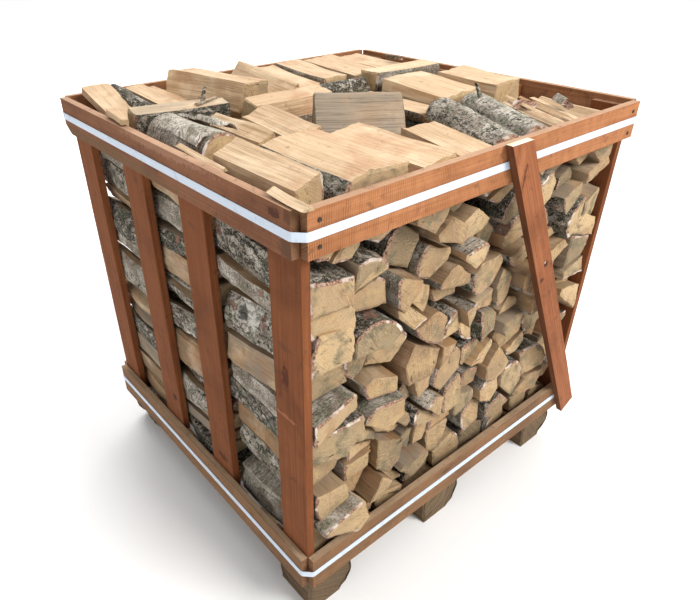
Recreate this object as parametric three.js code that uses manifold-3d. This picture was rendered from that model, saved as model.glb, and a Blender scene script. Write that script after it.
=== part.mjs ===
import * as THREE from 'three';
import { mergeVertices } from 'three/addons/utils/BufferGeometryUtils.js';
import Module from 'manifold-3d';

// Slatted crate of split birch firewood on a low pallet base, held by two flat straps.
// Millimetres, +Z up, origin on the ground under the middle of the crate's frame.
// -Y is the open front where the log ends show; the slatted walls face -X and +X.

// ---- driving dimensions ----
const FRAME_WIDTH = 1000;        // over the slats' outer faces, along X
const FRAME_DEPTH = 926;         // between the inner faces of the front and back boards, along Y
const BOARD_THICK = 18;
const TOP_BOARD_LOW = 958;
const TOP_BOARD_HIGH = 1042;
const LOW_BOARD_LOW = 120;
const LOW_BOARD_HIGH = 217;
const SLAT_THICK = 20;
const SLAT_HIGH = 1030;
const STRAP_THICK = 1;
const STRAP_WIDTH = 16;
const TOP_STRAP_MID = 1000;
const LOW_STRAP_MID = 174;
const BRACE_WIDTH = 61;
const BRACE_THICK = 18;
const BRACE_TOP_X = 7;           // middle of the front brace's top end
const BRACE_LOW_X = 522;         // middle of its lower end
const BRACE_TOP_Z = 1046;
const BRACE_LOW_Z = 114;
const FOOT_HIGH = 119.6;
const BEARER_THICK = 22;
const BEARER_WIDTH = 95;
const DECK_THICK = 18;
const DECK_WIDTH = 150;
const GAP = 0.4;                 // clearance left between touching pieces
const SEAT_GAP = 0.2;            // ... and half of it, where both neighbours give way
const DECK_STEP = 240;           // spacing of the deck boards
const BEARER_OUT = 408;          // middles of the outer bearers
const FOOT_DEEP = 122;

const HALF_W = FRAME_WIDTH / 2;
const HALF_D = FRAME_DEPTH / 2;
const DECK_LOW = LOW_BOARD_LOW + BEARER_THICK + GAP;
const DECK_HIGH = DECK_LOW + DECK_THICK;
const STACK_LOW = DECK_HIGH + 0.6;
const STACK_HIGH = 984;
const STACK_HALF_W = HALF_W - SLAT_THICK - 2;

// slat positions along each side wall: [near edge, far edge] measured from the middle
const SLATS = [[-463, -371], [-163, -67], [94, 188], [369, 463]];

const group = new THREE.Group();
group.name = 'firewood_crate';

const COLOURS = {
  board: 0x9a6244,
  slat: 0x8a5238,
  strap: 0xe4ecf6,
  foot: 0x7d7364,
  deck: 0x8d7458,
  log: 0xd2b183,
};

function add(name, geometry, colour) {
  const material = new THREE.MeshStandardMaterial({ color: colour, roughness: 0.85 });
  const mesh = new THREE.Mesh(geometry, material);
  mesh.name = name;
  group.add(mesh);
  return mesh;
}

function box(x0, x1, y0, y1, z0, z1) {
  const geometry = new THREE.BoxGeometry(x1 - x0, y1 - y0, z1 - z0);
  geometry.translate((x0 + x1) / 2, (y0 + y1) / 2, (z0 + z1) / 2);
  return geometry;
}

// closed bar: outline points [x, z], running along Y from y0 to y1
function barAlongY(points, y0, y1) {
  const shape = new THREE.Shape(points.map(([x, z]) => new THREE.Vector2(x, z)));
  const geometry = new THREE.ExtrudeGeometry(shape, { depth: y1 - y0, bevelEnabled: false });
  geometry.rotateX(Math.PI / 2);
  geometry.translate(0, y1, 0);
  return geometry;
}

// ---- joining with manifold ----
const { Manifold, Mesh: SolidMesh } = await (async () => {
  const kernel = await Module();
  kernel.setup();
  return kernel;
})();

function toSolid(geometry) {
  const bare = new THREE.BufferGeometry();
  bare.setAttribute('position', geometry.getAttribute('position'));
  if (geometry.index) bare.setIndex(geometry.index);
  const merged = mergeVertices(bare, 1e-4);
  return new Manifold(new SolidMesh({
    numProp: 3,
    vertProperties: new Float32Array(merged.getAttribute('position').array),
    triVerts: new Uint32Array(merged.index.array),
  }));
}

function fromSolid(solid) {
  const mesh = solid.getMesh();
  const geometry = new THREE.BufferGeometry();
  geometry.setAttribute('position', new THREE.BufferAttribute(new Float32Array(mesh.vertProperties), 3));
  geometry.setIndex(new THREE.BufferAttribute(new Uint32Array(mesh.triVerts), 1));
  geometry.computeVertexNormals();
  return geometry;
}

// ---- repeatable scatter: a number between 0 and 1 each time it is called ----
const SCATTER_STEP = 16807;
const SCATTER_RANGE = 2147483647;
const SCATTER_RUN_IN = 5;        // the first few numbers lie too close to each other, so they are dropped

function scatter(seed) {
  let state = seed;
  const next = () => {
    state = (state * SCATTER_STEP) % SCATTER_RANGE;
    return state / SCATTER_RANGE;
  };
  for (let i = 0; i < SCATTER_RUN_IN; i += 1) next();
  return next;
}

// ---- flat outlines, as lists of [u, v] going anticlockwise ----
// keeps the side of the line (through px, py, along normal nx, ny) that the normal points away from
function cutLine(points, px, py, nx, ny) {
  const kept = [];
  for (let i = 0; i < points.length; i += 1) {
    const a = points[i];
    const b = points[(i + 1) % points.length];
    const da = (a[0] - px) * nx + (a[1] - py) * ny;
    const db = (b[0] - px) * nx + (b[1] - py) * ny;
    if (da <= 0) kept.push(a);
    if (da * db < 0) {
      const t = da / (da - db);
      kept.push([a[0] + (b[0] - a[0]) * t, a[1] + (b[1] - a[1]) * t]);
    }
  }
  return kept;
}

// cuts the outline back to a circle, as chords of about the given length
function cutCircle(points, cx, cy, radius, chord) {
  const steps = Math.max(8, Math.round((2 * Math.PI * radius) / chord));
  const apothem = radius * Math.cos(Math.PI / steps);
  let kept = points;
  for (let i = 0; i < steps; i += 1) {
    const angle = (2 * Math.PI * i) / steps;
    const nx = Math.cos(angle);
    const ny = Math.sin(angle);
    kept = cutLine(kept, cx + nx * apothem, cy + ny * apothem, nx, ny);
  }
  return kept;
}

function tidyOutline(points, shortest) {
  const kept = [];
  for (const p of points) {
    const last = kept[kept.length - 1];
    if (!last || Math.hypot(p[0] - last[0], p[1] - last[1]) > shortest) kept.push(p);
  }
  const first = kept[0];
  const last = kept[kept.length - 1];
  if (kept.length > 3 && Math.hypot(first[0] - last[0], first[1] - last[1]) <= shortest) kept.pop();
  return kept.map(([x, y]) => [Math.round(x * 100) / 100, Math.round(y * 100) / 100]);
}

function areaOf(points) {
  let sum = 0;
  for (let i = 0; i < points.length; i += 1) {
    const a = points[i];
    const b = points[(i + 1) % points.length];
    sum += a[0] * b[1] - b[0] * a[1];
  }
  return sum / 2;
}

// ---- how one row of logs is packed: an outline for each log end ----
const LAYERS = 11;
const FEWEST_ACROSS = 8;         // logs in a layer, and how many more it may have
const MORE_ACROSS = 3;
const FIRST_ACROSS = 0.25;       // where a layer's first log is, as a share of the logs' spacing
const START_SPREAD = 0.5;        // ... and how far a layer is shifted along
const RISE_SCATTER = 0.5;        // up and down scatter of the logs, as a share of a layer
const LOG_GAP = 2;
const HALVED = 0.34;             // share of the cells that hold two split pieces
const SITE_SCATTER = 0.42;       // sideways scatter of the logs, as a share of their spacing
const WEIGHT_SPREAD = 1800;      // how unequal neighbouring logs are
const NEIGHBOUR_REACH = 330;     // farthest that a log can press on another one
const LID_DROP = 20;             // the top of the stack is uneven by this much
const LID_LEAN = 0.16;           // slope range of the topmost faces
const HEART_NEAR = 30;           // how far off the heart of a log's tree is, from ...
const HEART_SPREAD = 24;         // ... to this much more
const GIRTH_LEAST = 0.8;         // how much of its room the bark's arc reaches over, from ...
const GIRTH_SPREAD = 0.12;       // ... to this much more
const LEAST_RADIUS = 50;
const SPLIT_LEAN = 1.1;          // range of the angle between a halved log's split and its radius
const PROUD_STEP = 0.37;         // one half stands out farther than the other
const BARK_CHORD = 40;           // length of the flats that make up a bark arc
const SHORTEST_SIDE = 9;
const LEAST_CELL = 1200;         // room too small to hold a log, in square millimetres
const LEAST_HALVED = 5000;
const LEAST_LOG = 500;
const WALL_TURN = 0.2;           // how far the bark of a wall log can face away from its wall
const WALL_HEART = 26;           // ... and how much farther in its heart is
const WALL_GIRTH = 0.07;
const END_LEAN = 0.36;           // slope range of the sawn ends
const PROUD_LOW = -6;            // log ends stand this far behind the row's face, from ...
const PROUD_HIGH = 40;           // ... to this

function packRow(seed) {
  const random = scatter(seed);
  const sites = [];
  const layerHigh = (STACK_HIGH - STACK_LOW) / LAYERS;
  for (let k = 0; k < LAYERS; k += 1) {
    const count = FEWEST_ACROSS + Math.floor(random() * MORE_ACROSS);
    const start = FIRST_ACROSS + random() * START_SPREAD;
    for (let i = 0; i < count; i += 1) {
      const across = (i + start + (random() - 0.5) * SITE_SCATTER) / count;
      const up = k + 0.5 + (random() - 0.5) * RISE_SCATTER;
      const x = -STACK_HALF_W + 2 * STACK_HALF_W * across;
      const z = STACK_LOW + up * layerHigh;
      sites.push([x, z, (random() - 0.5) * WEIGHT_SPREAD]);
    }
  }
  const logs = [];
  for (const site of sites) {
    const lid = random() * LID_DROP;
    const lidLean = (random() - 0.5) * LID_LEAN;
    let cell = [[-STACK_HALF_W, STACK_LOW], [STACK_HALF_W, STACK_LOW],
      [STACK_HALF_W, STACK_HIGH], [-STACK_HALF_W, STACK_HIGH]];
    cell = cutLine(cell, site[0], STACK_HIGH - lid, lidLean, 1);
    for (const other of sites) {
      const dx = other[0] - site[0];
      const dz = other[1] - site[1];
      const far = Math.hypot(dx, dz);
      if (far < 1 || far > NEIGHBOUR_REACH) continue;
      const reach = (far * far + site[2] - other[2]) / (2 * far) - LOG_GAP;
      const nx = dx / far;
      const nz = dz / far;
      cell = cutLine(cell, site[0] + nx * reach, site[1] + nz * reach, nx, nz);
      if (cell.length < 3) break;
    }
    let turn = random() * 2 * Math.PI;
    let heart = HEART_NEAR + random() * HEART_SPREAD;
    let girth = GIRTH_LEAST + GIRTH_SPREAD * random();
    const halved = random() < HALVED;
    const lean = random() - 0.5;
    const proud = random();
    const tiltX = (random() - 0.5) * END_LEAN;
    const tiltZ = (random() - 0.5) * END_LEAN;
    if (cell.length < 3 || areaOf(cell) < LEAST_CELL) continue;
    // logs against a wall have their bark or a broad split face to the slats
    const wall = cell.some(([x]) => Math.abs(x) > STACK_HALF_W - 1);
    if (wall) {
      turn = (turn - Math.PI) * WALL_TURN + (site[0] < 0 ? Math.PI : 0);
      heart += WALL_HEART;
      girth += WALL_GIRTH;
    }
    // middle of the cell, then the heart of the tree the piece was split from
    let mx = 0;
    let mz = 0;
    for (const p of cell) {
      mx += p[0] / cell.length;
      mz += p[1] / cell.length;
    }
    const hx = mx - Math.cos(turn) * heart;
    const hz = mz - Math.sin(turn) * heart;
    let reach = 0;
    for (const p of cell) {
      const out = (p[0] - hx) * Math.cos(turn) + (p[1] - hz) * Math.sin(turn);
      reach = Math.max(reach, out);
    }
    const radius = Math.max(LEAST_RADIUS, reach * girth);
    const round = cutCircle(cell, hx, hz, radius, BARK_CHORD);
    const parts = [];
    if (halved && areaOf(round) > LEAST_HALVED) {
      const split = turn + Math.PI / 2 + lean * SPLIT_LEAN;
      const sx = Math.cos(split);
      const sz = Math.sin(split);
      parts.push(cutLine(round, mx - sx * LOG_GAP, mz - sz * LOG_GAP, sx, sz));
      parts.push(cutLine(round, mx + sx * LOG_GAP, mz + sz * LOG_GAP, -sx, -sz));
    } else {
      parts.push(round);
    }
    parts.forEach((outline, n) => {
      const clean = tidyOutline(outline, SHORTEST_SIDE);
      if (clean.length > 2 && areaOf(clean) > LEAST_LOG) {
        logs.push({ outline: clean, mx, mz, proud: (proud + n * PROUD_STEP) % 1, tiltX, tiltZ });
      }
    });
  }
  return logs;
}

// prism of one log end; the free end is sawn off square, and stays behind the boards that cross it
function logPrism(log, yInner, yOuter, yFace) {
  const geometry = barAlongY(log.outline, Math.min(yInner, yOuter), Math.max(yInner, yOuter));
  const position = geometry.getAttribute('position');
  const boarded = log.outline.some(([, z]) => z < LOW_BOARD_HIGH + 1 || z > TOP_BOARD_LOW - 1);
  const limit = Math.abs(yFace) - (boarded ? 1 : PROUD_LOW);
  for (let i = 0; i < position.count; i += 1) {
    if (Math.abs(position.getY(i) - yOuter) < 0.01) {
      const x = position.getX(i);
      const z = position.getZ(i);
      const slope = log.tiltX * (x - log.mx) + log.tiltZ * (z - log.mz);
      const y = Math.min(Math.abs(yOuter + slope), limit);
      position.setY(i, Math.sign(yFace) * y);
    }
  }
  return geometry;
}

// one row: a solid heart with every log end standing out of it and the outer logs at full length
const CORE_IN = 56;              // how far the row's heart stands back from the row's face
const CORE_SIDE = 26;            // ... and from its sides
const CORE_LOW = 14;
const CORE_HIGH = 40;
const SUNK_IN = 6;               // how far a short log end runs into the heart
const OUTER_SIDE = 4;            // a log that reaches this far past the heart's side, ...
const OUTER_TOP = 30;            // ... this near to the top of the stack ...
const OUTER_LOW = 10;            // ... or this near to the deck runs the whole length of its row
const ROWS = [
  { name: 'logs_front_row', seed: 11, y0: -463, y1: -156, face: -1 },
  { name: 'logs_middle_row', seed: 29, y0: -153, y1: 153, face: 0 },
  { name: 'logs_back_row', seed: 47, y0: 156, y1: 463, face: 1 },
];

function makeRow(row) {
  const side = STACK_HALF_W - CORE_SIDE;
  const coreY0 = row.face < 0 ? row.y0 + CORE_IN : row.y0 + 1;
  const coreY1 = row.face > 0 ? row.y1 - CORE_IN : row.y1 - 1;
  const core = box(-side, side, coreY0, coreY1, STACK_LOW + CORE_LOW, STACK_HIGH - CORE_HIGH);
  const solids = [toSolid(core)];
  for (const log of packRow(row.seed)) {
    const outer = log.outline.some(([x, z]) => Math.abs(x) > side + OUTER_SIDE
      || z > STACK_HIGH - OUTER_TOP || z < STACK_LOW + OUTER_LOW);
    if (row.face === 0) {
      if (outer) solids.push(toSolid(barAlongY(log.outline, row.y0, row.y1)));
      continue;
    }
    const proud = PROUD_LOW + (PROUD_HIGH - PROUD_LOW) * log.proud;
    const yFace = row.face < 0 ? row.y0 : row.y1;
    const yOuter = yFace - row.face * proud;
    const yCore = row.face < 0 ? coreY0 + SUNK_IN : coreY1 - SUNK_IN;
    const yFar = row.face < 0 ? row.y1 : row.y0;
    solids.push(toSolid(logPrism(log, outer ? yFar : yCore, yOuter, yFace)));
  }
  return fromSolid(Manifold.union(solids));
}

for (const row of ROWS) add(row.name, makeRow(row), COLOURS.log);

// ---- the loose top layer: one solid a log ----
// outlines for a log one unit wide and one unit high, standing on v = 0
const SECTIONS = {
  slab: [[-0.5, 0.15], [-0.38, 0], [0.4, 0], [0.5, 0.2], [0.46, 1], [-0.48, 0.94]],
  half: [[-0.42, 0.45], [-0.25, 0.12], [0, 0], [0.25, 0.12], [0.42, 0.45], [0.5, 0.86],
    [0.49, 1], [-0.49, 1], [-0.5, 0.86]],
  shoulder: [[-0.5, 0.5], [-0.44, 0.18], [-0.3, 0], [0.4, 0], [0.5, 0.3], [0.5, 0.95], [-0.1, 1],
    [-0.36, 0.84]],
  dome: [[-0.5, 0.2], [-0.42, 0], [0.42, 0], [0.5, 0.2], [0.47, 0.55], [0.33, 0.85], [0.1, 1],
    [-0.13, 1], [-0.35, 0.84], [-0.48, 0.52]],
  quarter: [[-0.5, 0.25], [-0.3, 0], [0.15, 0.03], [0.4, 0.25], [0.5, 0.6], [0.42, 1], [-0.46, 0.74]],
  wedge: [[-0.5, 0.15], [-0.42, 0], [0.45, 0], [0.5, 0.22], [0.3, 1], [0.18, 0.97]],
  chunk: [[-0.5, 0.3], [-0.35, 0], [0.4, 0], [0.5, 0.35], [0.46, 0.9], [-0.3, 1]],
};

// name, section, near end [x, y, underside z], far end, width, height
const TOP_LOGS = [
  ['near_corner', 'quarter', [-444, -420, 988], [-442, -168, 988], 66, 80],
  ['bark_shoulder', 'shoulder', [-326, -450, 988], [-332, -204, 992], 146, 73],
  ['long_flat', 'slab', [-167, -450, 988], [-200, -216, 1002], 112, 54],
  ['orange_flat', 'slab', [-55, -450, 986], [-8, -248, 990], 96, 46],
  ['grey_bark', 'dome', [52, -442, 986], [148, -180, 1000], 88, 54],
  ['peeled_bark', 'dome', [158, -440, 986], [266, -182, 998], 84, 52],
  ['right_corner', 'wedge', [392, -446, 986], [432, -250, 986], 68, 40],
  ['grey_wedge', 'wedge', [25, -176, 986], [-146, -66, 990], 116, 92],
  ['small_flat', 'quarter', [-262, -190, 986], [-250, 16, 992], 76, 72],
  ['torn_block', 'chunk', [-230, 70, 986], [-8, 66, 986], 88, 78],
  ['broad_flat', 'slab', [262, -150, 986], [276, 72, 996], 152, 58],
  ['right_flat', 'slab', [420, -172, 988], [421, 24, 992], 114, 66],
  ['dark_bark', 'dome', [6, 126, 986], [190, 128, 986], 60, 62],
  ['white_top', 'half', [208, 126, 988], [440, 108, 990], 72, 72],
  ['white_bark', 'dome', [-412, -112, 986], [-424, 96, 986], 104, 74],
  ['cracked_end', 'quarter', [-327, -140, 986], [-331, 70, 986], 46, 66],
  ['pale_top', 'half', [-468, 172, 988], [-252, 128, 988], 70, 68],
  ['thick_chunk', 'chunk', [-160, 146, 986], [-232, 388, 992], 112, 98],
  ['leaning_plank', 'slab', [-434, 218, 990], [-434, 440, 1044], 78, 24],
  ['pointed', 'wedge', [-50, 140, 986], [-58, 395, 1012], 74, 74],
  ['back_flat_a', 'slab', [38, 176, 986], [62, 430, 994], 82, 56],
  ['back_flat_b', 'half', [134, 180, 986], [158, 436, 990], 86, 62],
  ['back_flat_c', 'slab', [258, 182, 986], [276, 436, 992], 118, 60],
  ['back_flat_d', 'slab', [396, 176, 986], [400, 438, 988], 104, 54],
];

function topLog(section, near, far, wide, high) {
  const along = new THREE.Vector3(far[0] - near[0], far[1] - near[1], far[2] - near[2]);
  const length = along.length();
  const outline = SECTIONS[section].map(([u, v]) => [u * wide, v * high]);
  const geometry = barAlongY(outline, 0, length);
  const turn = Math.atan2(-along.x, along.y);
  const rise = Math.asin(along.z / length);
  geometry.rotateX(rise);
  geometry.rotateZ(turn);
  geometry.translate(near[0], near[1], near[2]);
  return geometry;
}

for (const [name, section, near, far, wide, high] of TOP_LOGS) {
  add(`top_log_${name}`, topLog(section, near, far, wide, high), COLOURS.log);
}

// ---- two rings of boards on edge, butted at the corners with an open notch ----
function boardRing(label, low, high) {
  const outX = HALF_W + BOARD_THICK;
  const outY = HALF_D + BOARD_THICK;
  add(`${label}_board_front`, box(-HALF_W, HALF_W, -outY, -HALF_D - SEAT_GAP, low, high), COLOURS.board);
  add(`${label}_board_back`, box(-HALF_W, HALF_W, HALF_D + SEAT_GAP, outY, low, high), COLOURS.board);
  add(`${label}_board_left`, box(-outX, -HALF_W - SEAT_GAP, -HALF_D, HALF_D, low, high), COLOURS.board);
  add(`${label}_board_right`, box(HALF_W + SEAT_GAP, outX, -HALF_D, HALF_D, low, high), COLOURS.board);
}
boardRing('top', TOP_BOARD_LOW, TOP_BOARD_HIGH);
boardRing('low', LOW_BOARD_LOW, LOW_BOARD_HIGH);

// ---- four upright slats on each side wall, inside the rings ----
SLATS.forEach(([y0, y1], i) => {
  const low = y0 + (i === 0 ? SEAT_GAP : 0);
  const high = y1 - (i === SLATS.length - 1 ? SEAT_GAP : 0);
  const outer = HALF_W - SEAT_GAP;
  const inner = HALF_W - SLAT_THICK;
  add(`slat_left_${i + 1}`, box(-outer, -inner, low, high, DECK_LOW, SLAT_HIGH), COLOURS.slat);
  add(`slat_right_${i + 1}`, box(inner, outer, low, high, DECK_LOW, SLAT_HIGH), COLOURS.slat);
});

// ---- flat straps, one around each ring, cutting straight across the corner notches ----
function strapRing(out, cut) {
  const x = HALF_W + BOARD_THICK + out;
  const y = HALF_D + BOARD_THICK + out;
  return [
    [-x + cut, -y], [x - cut, -y], [x, -y + cut], [x, y - cut],
    [x - cut, y], [-x + cut, y], [-x, y - cut], [-x, -y + cut],
  ].map(([u, v]) => new THREE.Vector2(u, v));
}

function strap(name, mid) {
  const inner = GAP;
  const outer = GAP + STRAP_THICK;
  const shape = new THREE.Shape(strapRing(outer, BOARD_THICK + outer));
  shape.holes.push(new THREE.Path(strapRing(inner, BOARD_THICK + inner).reverse()));
  const geometry = new THREE.ExtrudeGeometry(shape, { depth: STRAP_WIDTH, bevelEnabled: false });
  geometry.translate(0, 0, mid - STRAP_WIDTH / 2);
  add(name, geometry, COLOURS.strap);
}
strap('strap_top', TOP_STRAP_MID);
strap('strap_low', LOW_STRAP_MID);

// ---- the slanting brace nailed over the front boards and the straps ----
function brace() {
  const lean = Math.atan2(BRACE_LOW_X - BRACE_TOP_X, BRACE_TOP_Z - BRACE_LOW_Z);
  const halfTop = BRACE_WIDTH / 2 / Math.cos(lean);
  const acrossX = (BRACE_WIDTH / 2) * Math.cos(lean);
  const acrossZ = (BRACE_WIDTH / 2) * Math.sin(lean);
  const outline = [
    [BRACE_LOW_X - acrossX, BRACE_LOW_Z - acrossZ],
    [BRACE_LOW_X + acrossX, BRACE_LOW_Z + acrossZ],
    [BRACE_TOP_X + halfTop, BRACE_TOP_Z],
    [BRACE_TOP_X - halfTop, BRACE_TOP_Z],
  ];
  const inner = -HALF_D - BOARD_THICK - GAP * 2 - STRAP_THICK;
  return barAlongY(outline, inner - BRACE_THICK, inner);
}
add('brace_front', brace(), COLOURS.slat);

// ---- pallet base: feet, bearers across them, deck boards on the bearers ----
const BEARERS = [['front', -BEARER_OUT], ['middle', 0], ['back', BEARER_OUT]];
for (const [label, y] of BEARERS) {
  const half = BEARER_WIDTH / 2;
  const edge = HALF_W - GAP;
  add(`bearer_${label}`, box(-edge, edge, y - half, y + half, LOW_BOARD_LOW, DECK_LOW - GAP), COLOURS.deck);
}
const DECK_BOARDS = 4;
for (let i = 0; i < DECK_BOARDS; i += 1) {
  const mid = (i - (DECK_BOARDS - 1) / 2) * DECK_STEP;
  const y = HALF_D - GAP;
  const half = DECK_WIDTH / 2;
  add(`deck_board_${i + 1}`, box(mid - half, mid + half, -y, y, DECK_LOW, DECK_HIGH), COLOURS.deck);
}

// a foot is a length of half-round timber: flat on top and underneath, its round side to +X or -X
function foot(x, y0, y1, wide, roundSide) {
  const w = wide / 2;
  const outline = [
    [-0.88 * w, 0], [0.36 * w, 0], [0.74 * w, 0.1 * FOOT_HIGH], [0.95 * w, 0.32 * FOOT_HIGH],
    [w, 0.52 * FOOT_HIGH],
    [0.94 * w, 0.76 * FOOT_HIGH], [0.78 * w, FOOT_HIGH], [-0.9 * w, FOOT_HIGH], [-w, 0.5 * FOOT_HIGH],
  ].map(([u, v]) => [x + u * roundSide, v]);
  if (roundSide < 0) outline.reverse();
  return barAlongY(outline, y0, y1);
}
const FEET = [
  ['front_left', -428, -462, 138, 1], ['front_middle', -26, -462, 146, 1], ['front_right', 426, -462, 140, 1],
  ['back_left', -426, 340, 140, -1], ['back_middle', -20, 340, 144, 1], ['back_right', 428, 340, 138, 1],
  ['centre', -10, -61, 130, -1],
];
for (const [label, x, y, wide, side] of FEET) {
  add(`foot_${label}`, foot(x, y, y + FOOT_DEEP, wide, side), COLOURS.foot);
}

export default group;
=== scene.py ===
import bpy
import bmesh
import math
import random
from mathutils import Matrix, Vector, noise


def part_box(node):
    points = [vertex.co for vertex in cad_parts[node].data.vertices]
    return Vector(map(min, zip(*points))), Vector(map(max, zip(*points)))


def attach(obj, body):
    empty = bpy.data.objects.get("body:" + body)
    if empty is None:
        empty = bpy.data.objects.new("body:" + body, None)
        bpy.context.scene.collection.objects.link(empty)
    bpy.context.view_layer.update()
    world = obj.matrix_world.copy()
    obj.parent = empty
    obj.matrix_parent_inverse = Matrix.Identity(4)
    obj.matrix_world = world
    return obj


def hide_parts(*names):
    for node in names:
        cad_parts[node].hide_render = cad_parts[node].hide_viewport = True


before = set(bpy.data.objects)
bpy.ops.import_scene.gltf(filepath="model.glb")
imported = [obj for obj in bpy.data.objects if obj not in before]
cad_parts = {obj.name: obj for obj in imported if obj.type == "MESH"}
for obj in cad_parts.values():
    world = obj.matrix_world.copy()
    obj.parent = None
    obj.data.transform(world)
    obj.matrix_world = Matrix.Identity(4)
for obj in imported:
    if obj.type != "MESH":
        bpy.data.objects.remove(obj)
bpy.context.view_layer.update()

# A slatted crate of split birch firewood. In turn: finishes, log rows, loose top layer, boards, straps,
# feet, small things, setting. Metres, except where a comment says millimetres.
MM = 0.001
BARK, SPLIT, SAWN, INNER_BARK = range(4)           # a log's four finishes, in this order
PATTERN_APART = 37.0                               # how far apart two pieces lie in the same pattern
PATCH_LUMPS = (110, 110, 110)                      # lumps to the metre on the edge of a patch


def linear(hex_colour):
    """A screen colour such as 'c8a06e' as the linear values that a shader takes."""
    parts = [int(hex_colour[i:i + 2], 16) / 255 for i in (0, 2, 4)]
    return tuple(p / 12.92 if p < 0.04045 else ((p + 0.055) / 1.055) ** 2.4 for p in parts) + (1.0,)


# ------------------------------------------------------------------ node helpers
class Graph:
    """Short words for wiring a material's or a group's nodes."""

    def __init__(self, tree):
        self.tree = tree

    def node(self, kind, values=None, **settings):
        made = self.tree.nodes.new(kind)
        for name, value in settings.items():
            setattr(made, name, value)
        for key, value in (values or {}).items():
            self.feed(made.inputs[key], value)
        return made

    def feed(self, socket, value):
        if isinstance(value, bpy.types.NodeSocket):
            self.tree.links.new(value, socket)
        else:
            socket.default_value = value

    def math(self, operation, a, b=0.0):
        return self.node("ShaderNodeMath", {0: a, 1: b}, operation=operation).outputs[0]

    def mix(self, share, a, b):
        return self.node("ShaderNodeMix", {0: share, 6: a, 7: b}, data_type="RGBA").outputs[2]

    def over(self, body, colour, share, strength=None):
        """The body with a colour laid over it, by a share or by the product of two."""
        if strength is not None:
            share = self.math("MULTIPLY", share, strength)
        return self.mix(share, body, linear(colour))

    def ramp(self, value, low, high, out_low=0.0, out_high=1.0):
        limits = {0: value, 1: low, 2: high, 3: out_low, 4: out_high}
        return self.node("ShaderNodeMapRange", limits, interpolation_type="SMOOTHSTEP").outputs[0]

    def noise(self, vector, detail=3.0, rough=0.55, distortion=0.0):
        values = {"Vector": vector, "Scale": 1.0, "Detail": detail, "Roughness": rough}
        return self.node("ShaderNodeTexNoise", values | {"Distortion": distortion}).outputs[0]

    def cells(self, vector):
        return self.node("ShaderNodeTexVoronoi", {"Vector": vector, "Scale": 1.0}).outputs[0]

    def tone(self):
        """The three random values that every log and board carries."""
        read = self.node("ShaderNodeAttribute", attribute_name="tone")
        parts = self.node("ShaderNodeSeparateColor", {0: read.outputs["Color"]})
        return parts.outputs[0], parts.outputs[1], parts.outputs[2]

    def along_across(self):
        """Metres along the grain and across it, from the piece's own map."""
        read = self.node("ShaderNodeUVMap", uv_map="grain")
        parts = self.node("ShaderNodeSeparateXYZ", {0: read.outputs[0]})
        return parts.outputs[0], parts.outputs[1]

    def space(self, along, across, along_scale, across_scale, shift, offset=0.0):
        """A place in a pattern; the shift and the offset keep pieces and patterns apart."""
        u = self.math("MULTIPLY", along, along_scale)
        v = self.math("MULTIPLY", across, across_scale)
        w = self.math("MULTIPLY_ADD", shift, PATTERN_APART)
        self.feed(w.node.inputs[2], offset)
        return self.node("ShaderNodeCombineXYZ", {0: u, 1: v, 2: w}).outputs[0]

    def spot(self, place, size, ragged=0.9, soft=0.5):
        """A soft-edged patch at one place on the crate, in the piece's own metres."""
        here = self.node("ShaderNodeTexCoord").outputs["Object"]
        away = self.node("ShaderNodeVectorMath", {0: here, 1: place}, operation="SUBTRACT").outputs[0]
        share = self.node("ShaderNodeVectorMath", {0: away, 1: size}, operation="DIVIDE").outputs[0]
        far = self.node("ShaderNodeVectorMath", {0: share}, operation="LENGTH").outputs[1]
        fine = self.node("ShaderNodeVectorMath", {0: here, 1: PATCH_LUMPS}, operation="MULTIPLY")
        rough = self.math("MULTIPLY", self.math("SUBTRACT", self.noise(fine.outputs[0]), 0.5), ragged * 2)
        return self.ramp(self.math("ADD", far, rough), 1 - soft, 1.0, 1.0, 0.0)


def new_group(name, inputs, outputs):
    """A shared effect: its tree, its graph, what it is given and what it gives."""
    tree = bpy.data.node_groups.new(name, "ShaderNodeTree")
    for label, value in inputs:
        socket = tree.interface.new_socket(name=label, in_out="INPUT", socket_type="NodeSocketFloat")
        socket.default_value = value
    for label, kind in outputs:
        tree.interface.new_socket(name=label, in_out="OUTPUT", socket_type=kind)
    graph = Graph(tree)
    return tree, graph, graph.node("NodeGroupInput").outputs, graph.node("NodeGroupOutput").inputs


def make_fibres():
    """Fibres and torn ridges running along the grain."""
    tree, g, given, out = new_group(
        "wood_fibres", [("Along", 12.0), ("Across", 260.0), ("Offset", 0.0)],
        [("Streak", "NodeSocketFloat"), ("Height", "NodeSocketFloat")])
    along, across = g.along_across()
    shift = g.tone()[2]
    fine = g.space(along, across, given["Along"], given["Across"], shift, given["Offset"])
    broad_u = g.math("MULTIPLY", given["Along"], 0.35)
    broad_v = g.math("MULTIPLY", given["Across"], 0.16)
    broad = g.space(along, across, broad_u, broad_v, shift, 11.0)
    streak = g.noise(fine, 4.0, 0.6, 0.4)
    ridge = g.noise(broad, 3.0, 0.5, 0.8)
    g.feed(out["Streak"], streak)
    g.feed(out["Height"], g.math("ADD", g.math("MULTIPLY", streak, 0.45), ridge))
    return tree


def make_stain():
    """Soft patches of weathering, mould or damp."""
    tree, g, given, out = new_group(
        "weather_stain", [("Scale", 12.0), ("Start", 0.5), ("Softness", 0.12), ("Offset", 0.0)],
        [("Mask", "NodeSocketFloat")])
    along, across = g.along_across()
    place = g.space(along, across, given["Scale"], given["Scale"], g.tone()[2], given["Offset"])
    cloud = g.noise(place, 5.0, 0.6, 0.3)
    g.feed(out["Mask"], g.ramp(cloud, given["Start"], g.math("ADD", given["Start"], given["Softness"])))
    return tree


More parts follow.
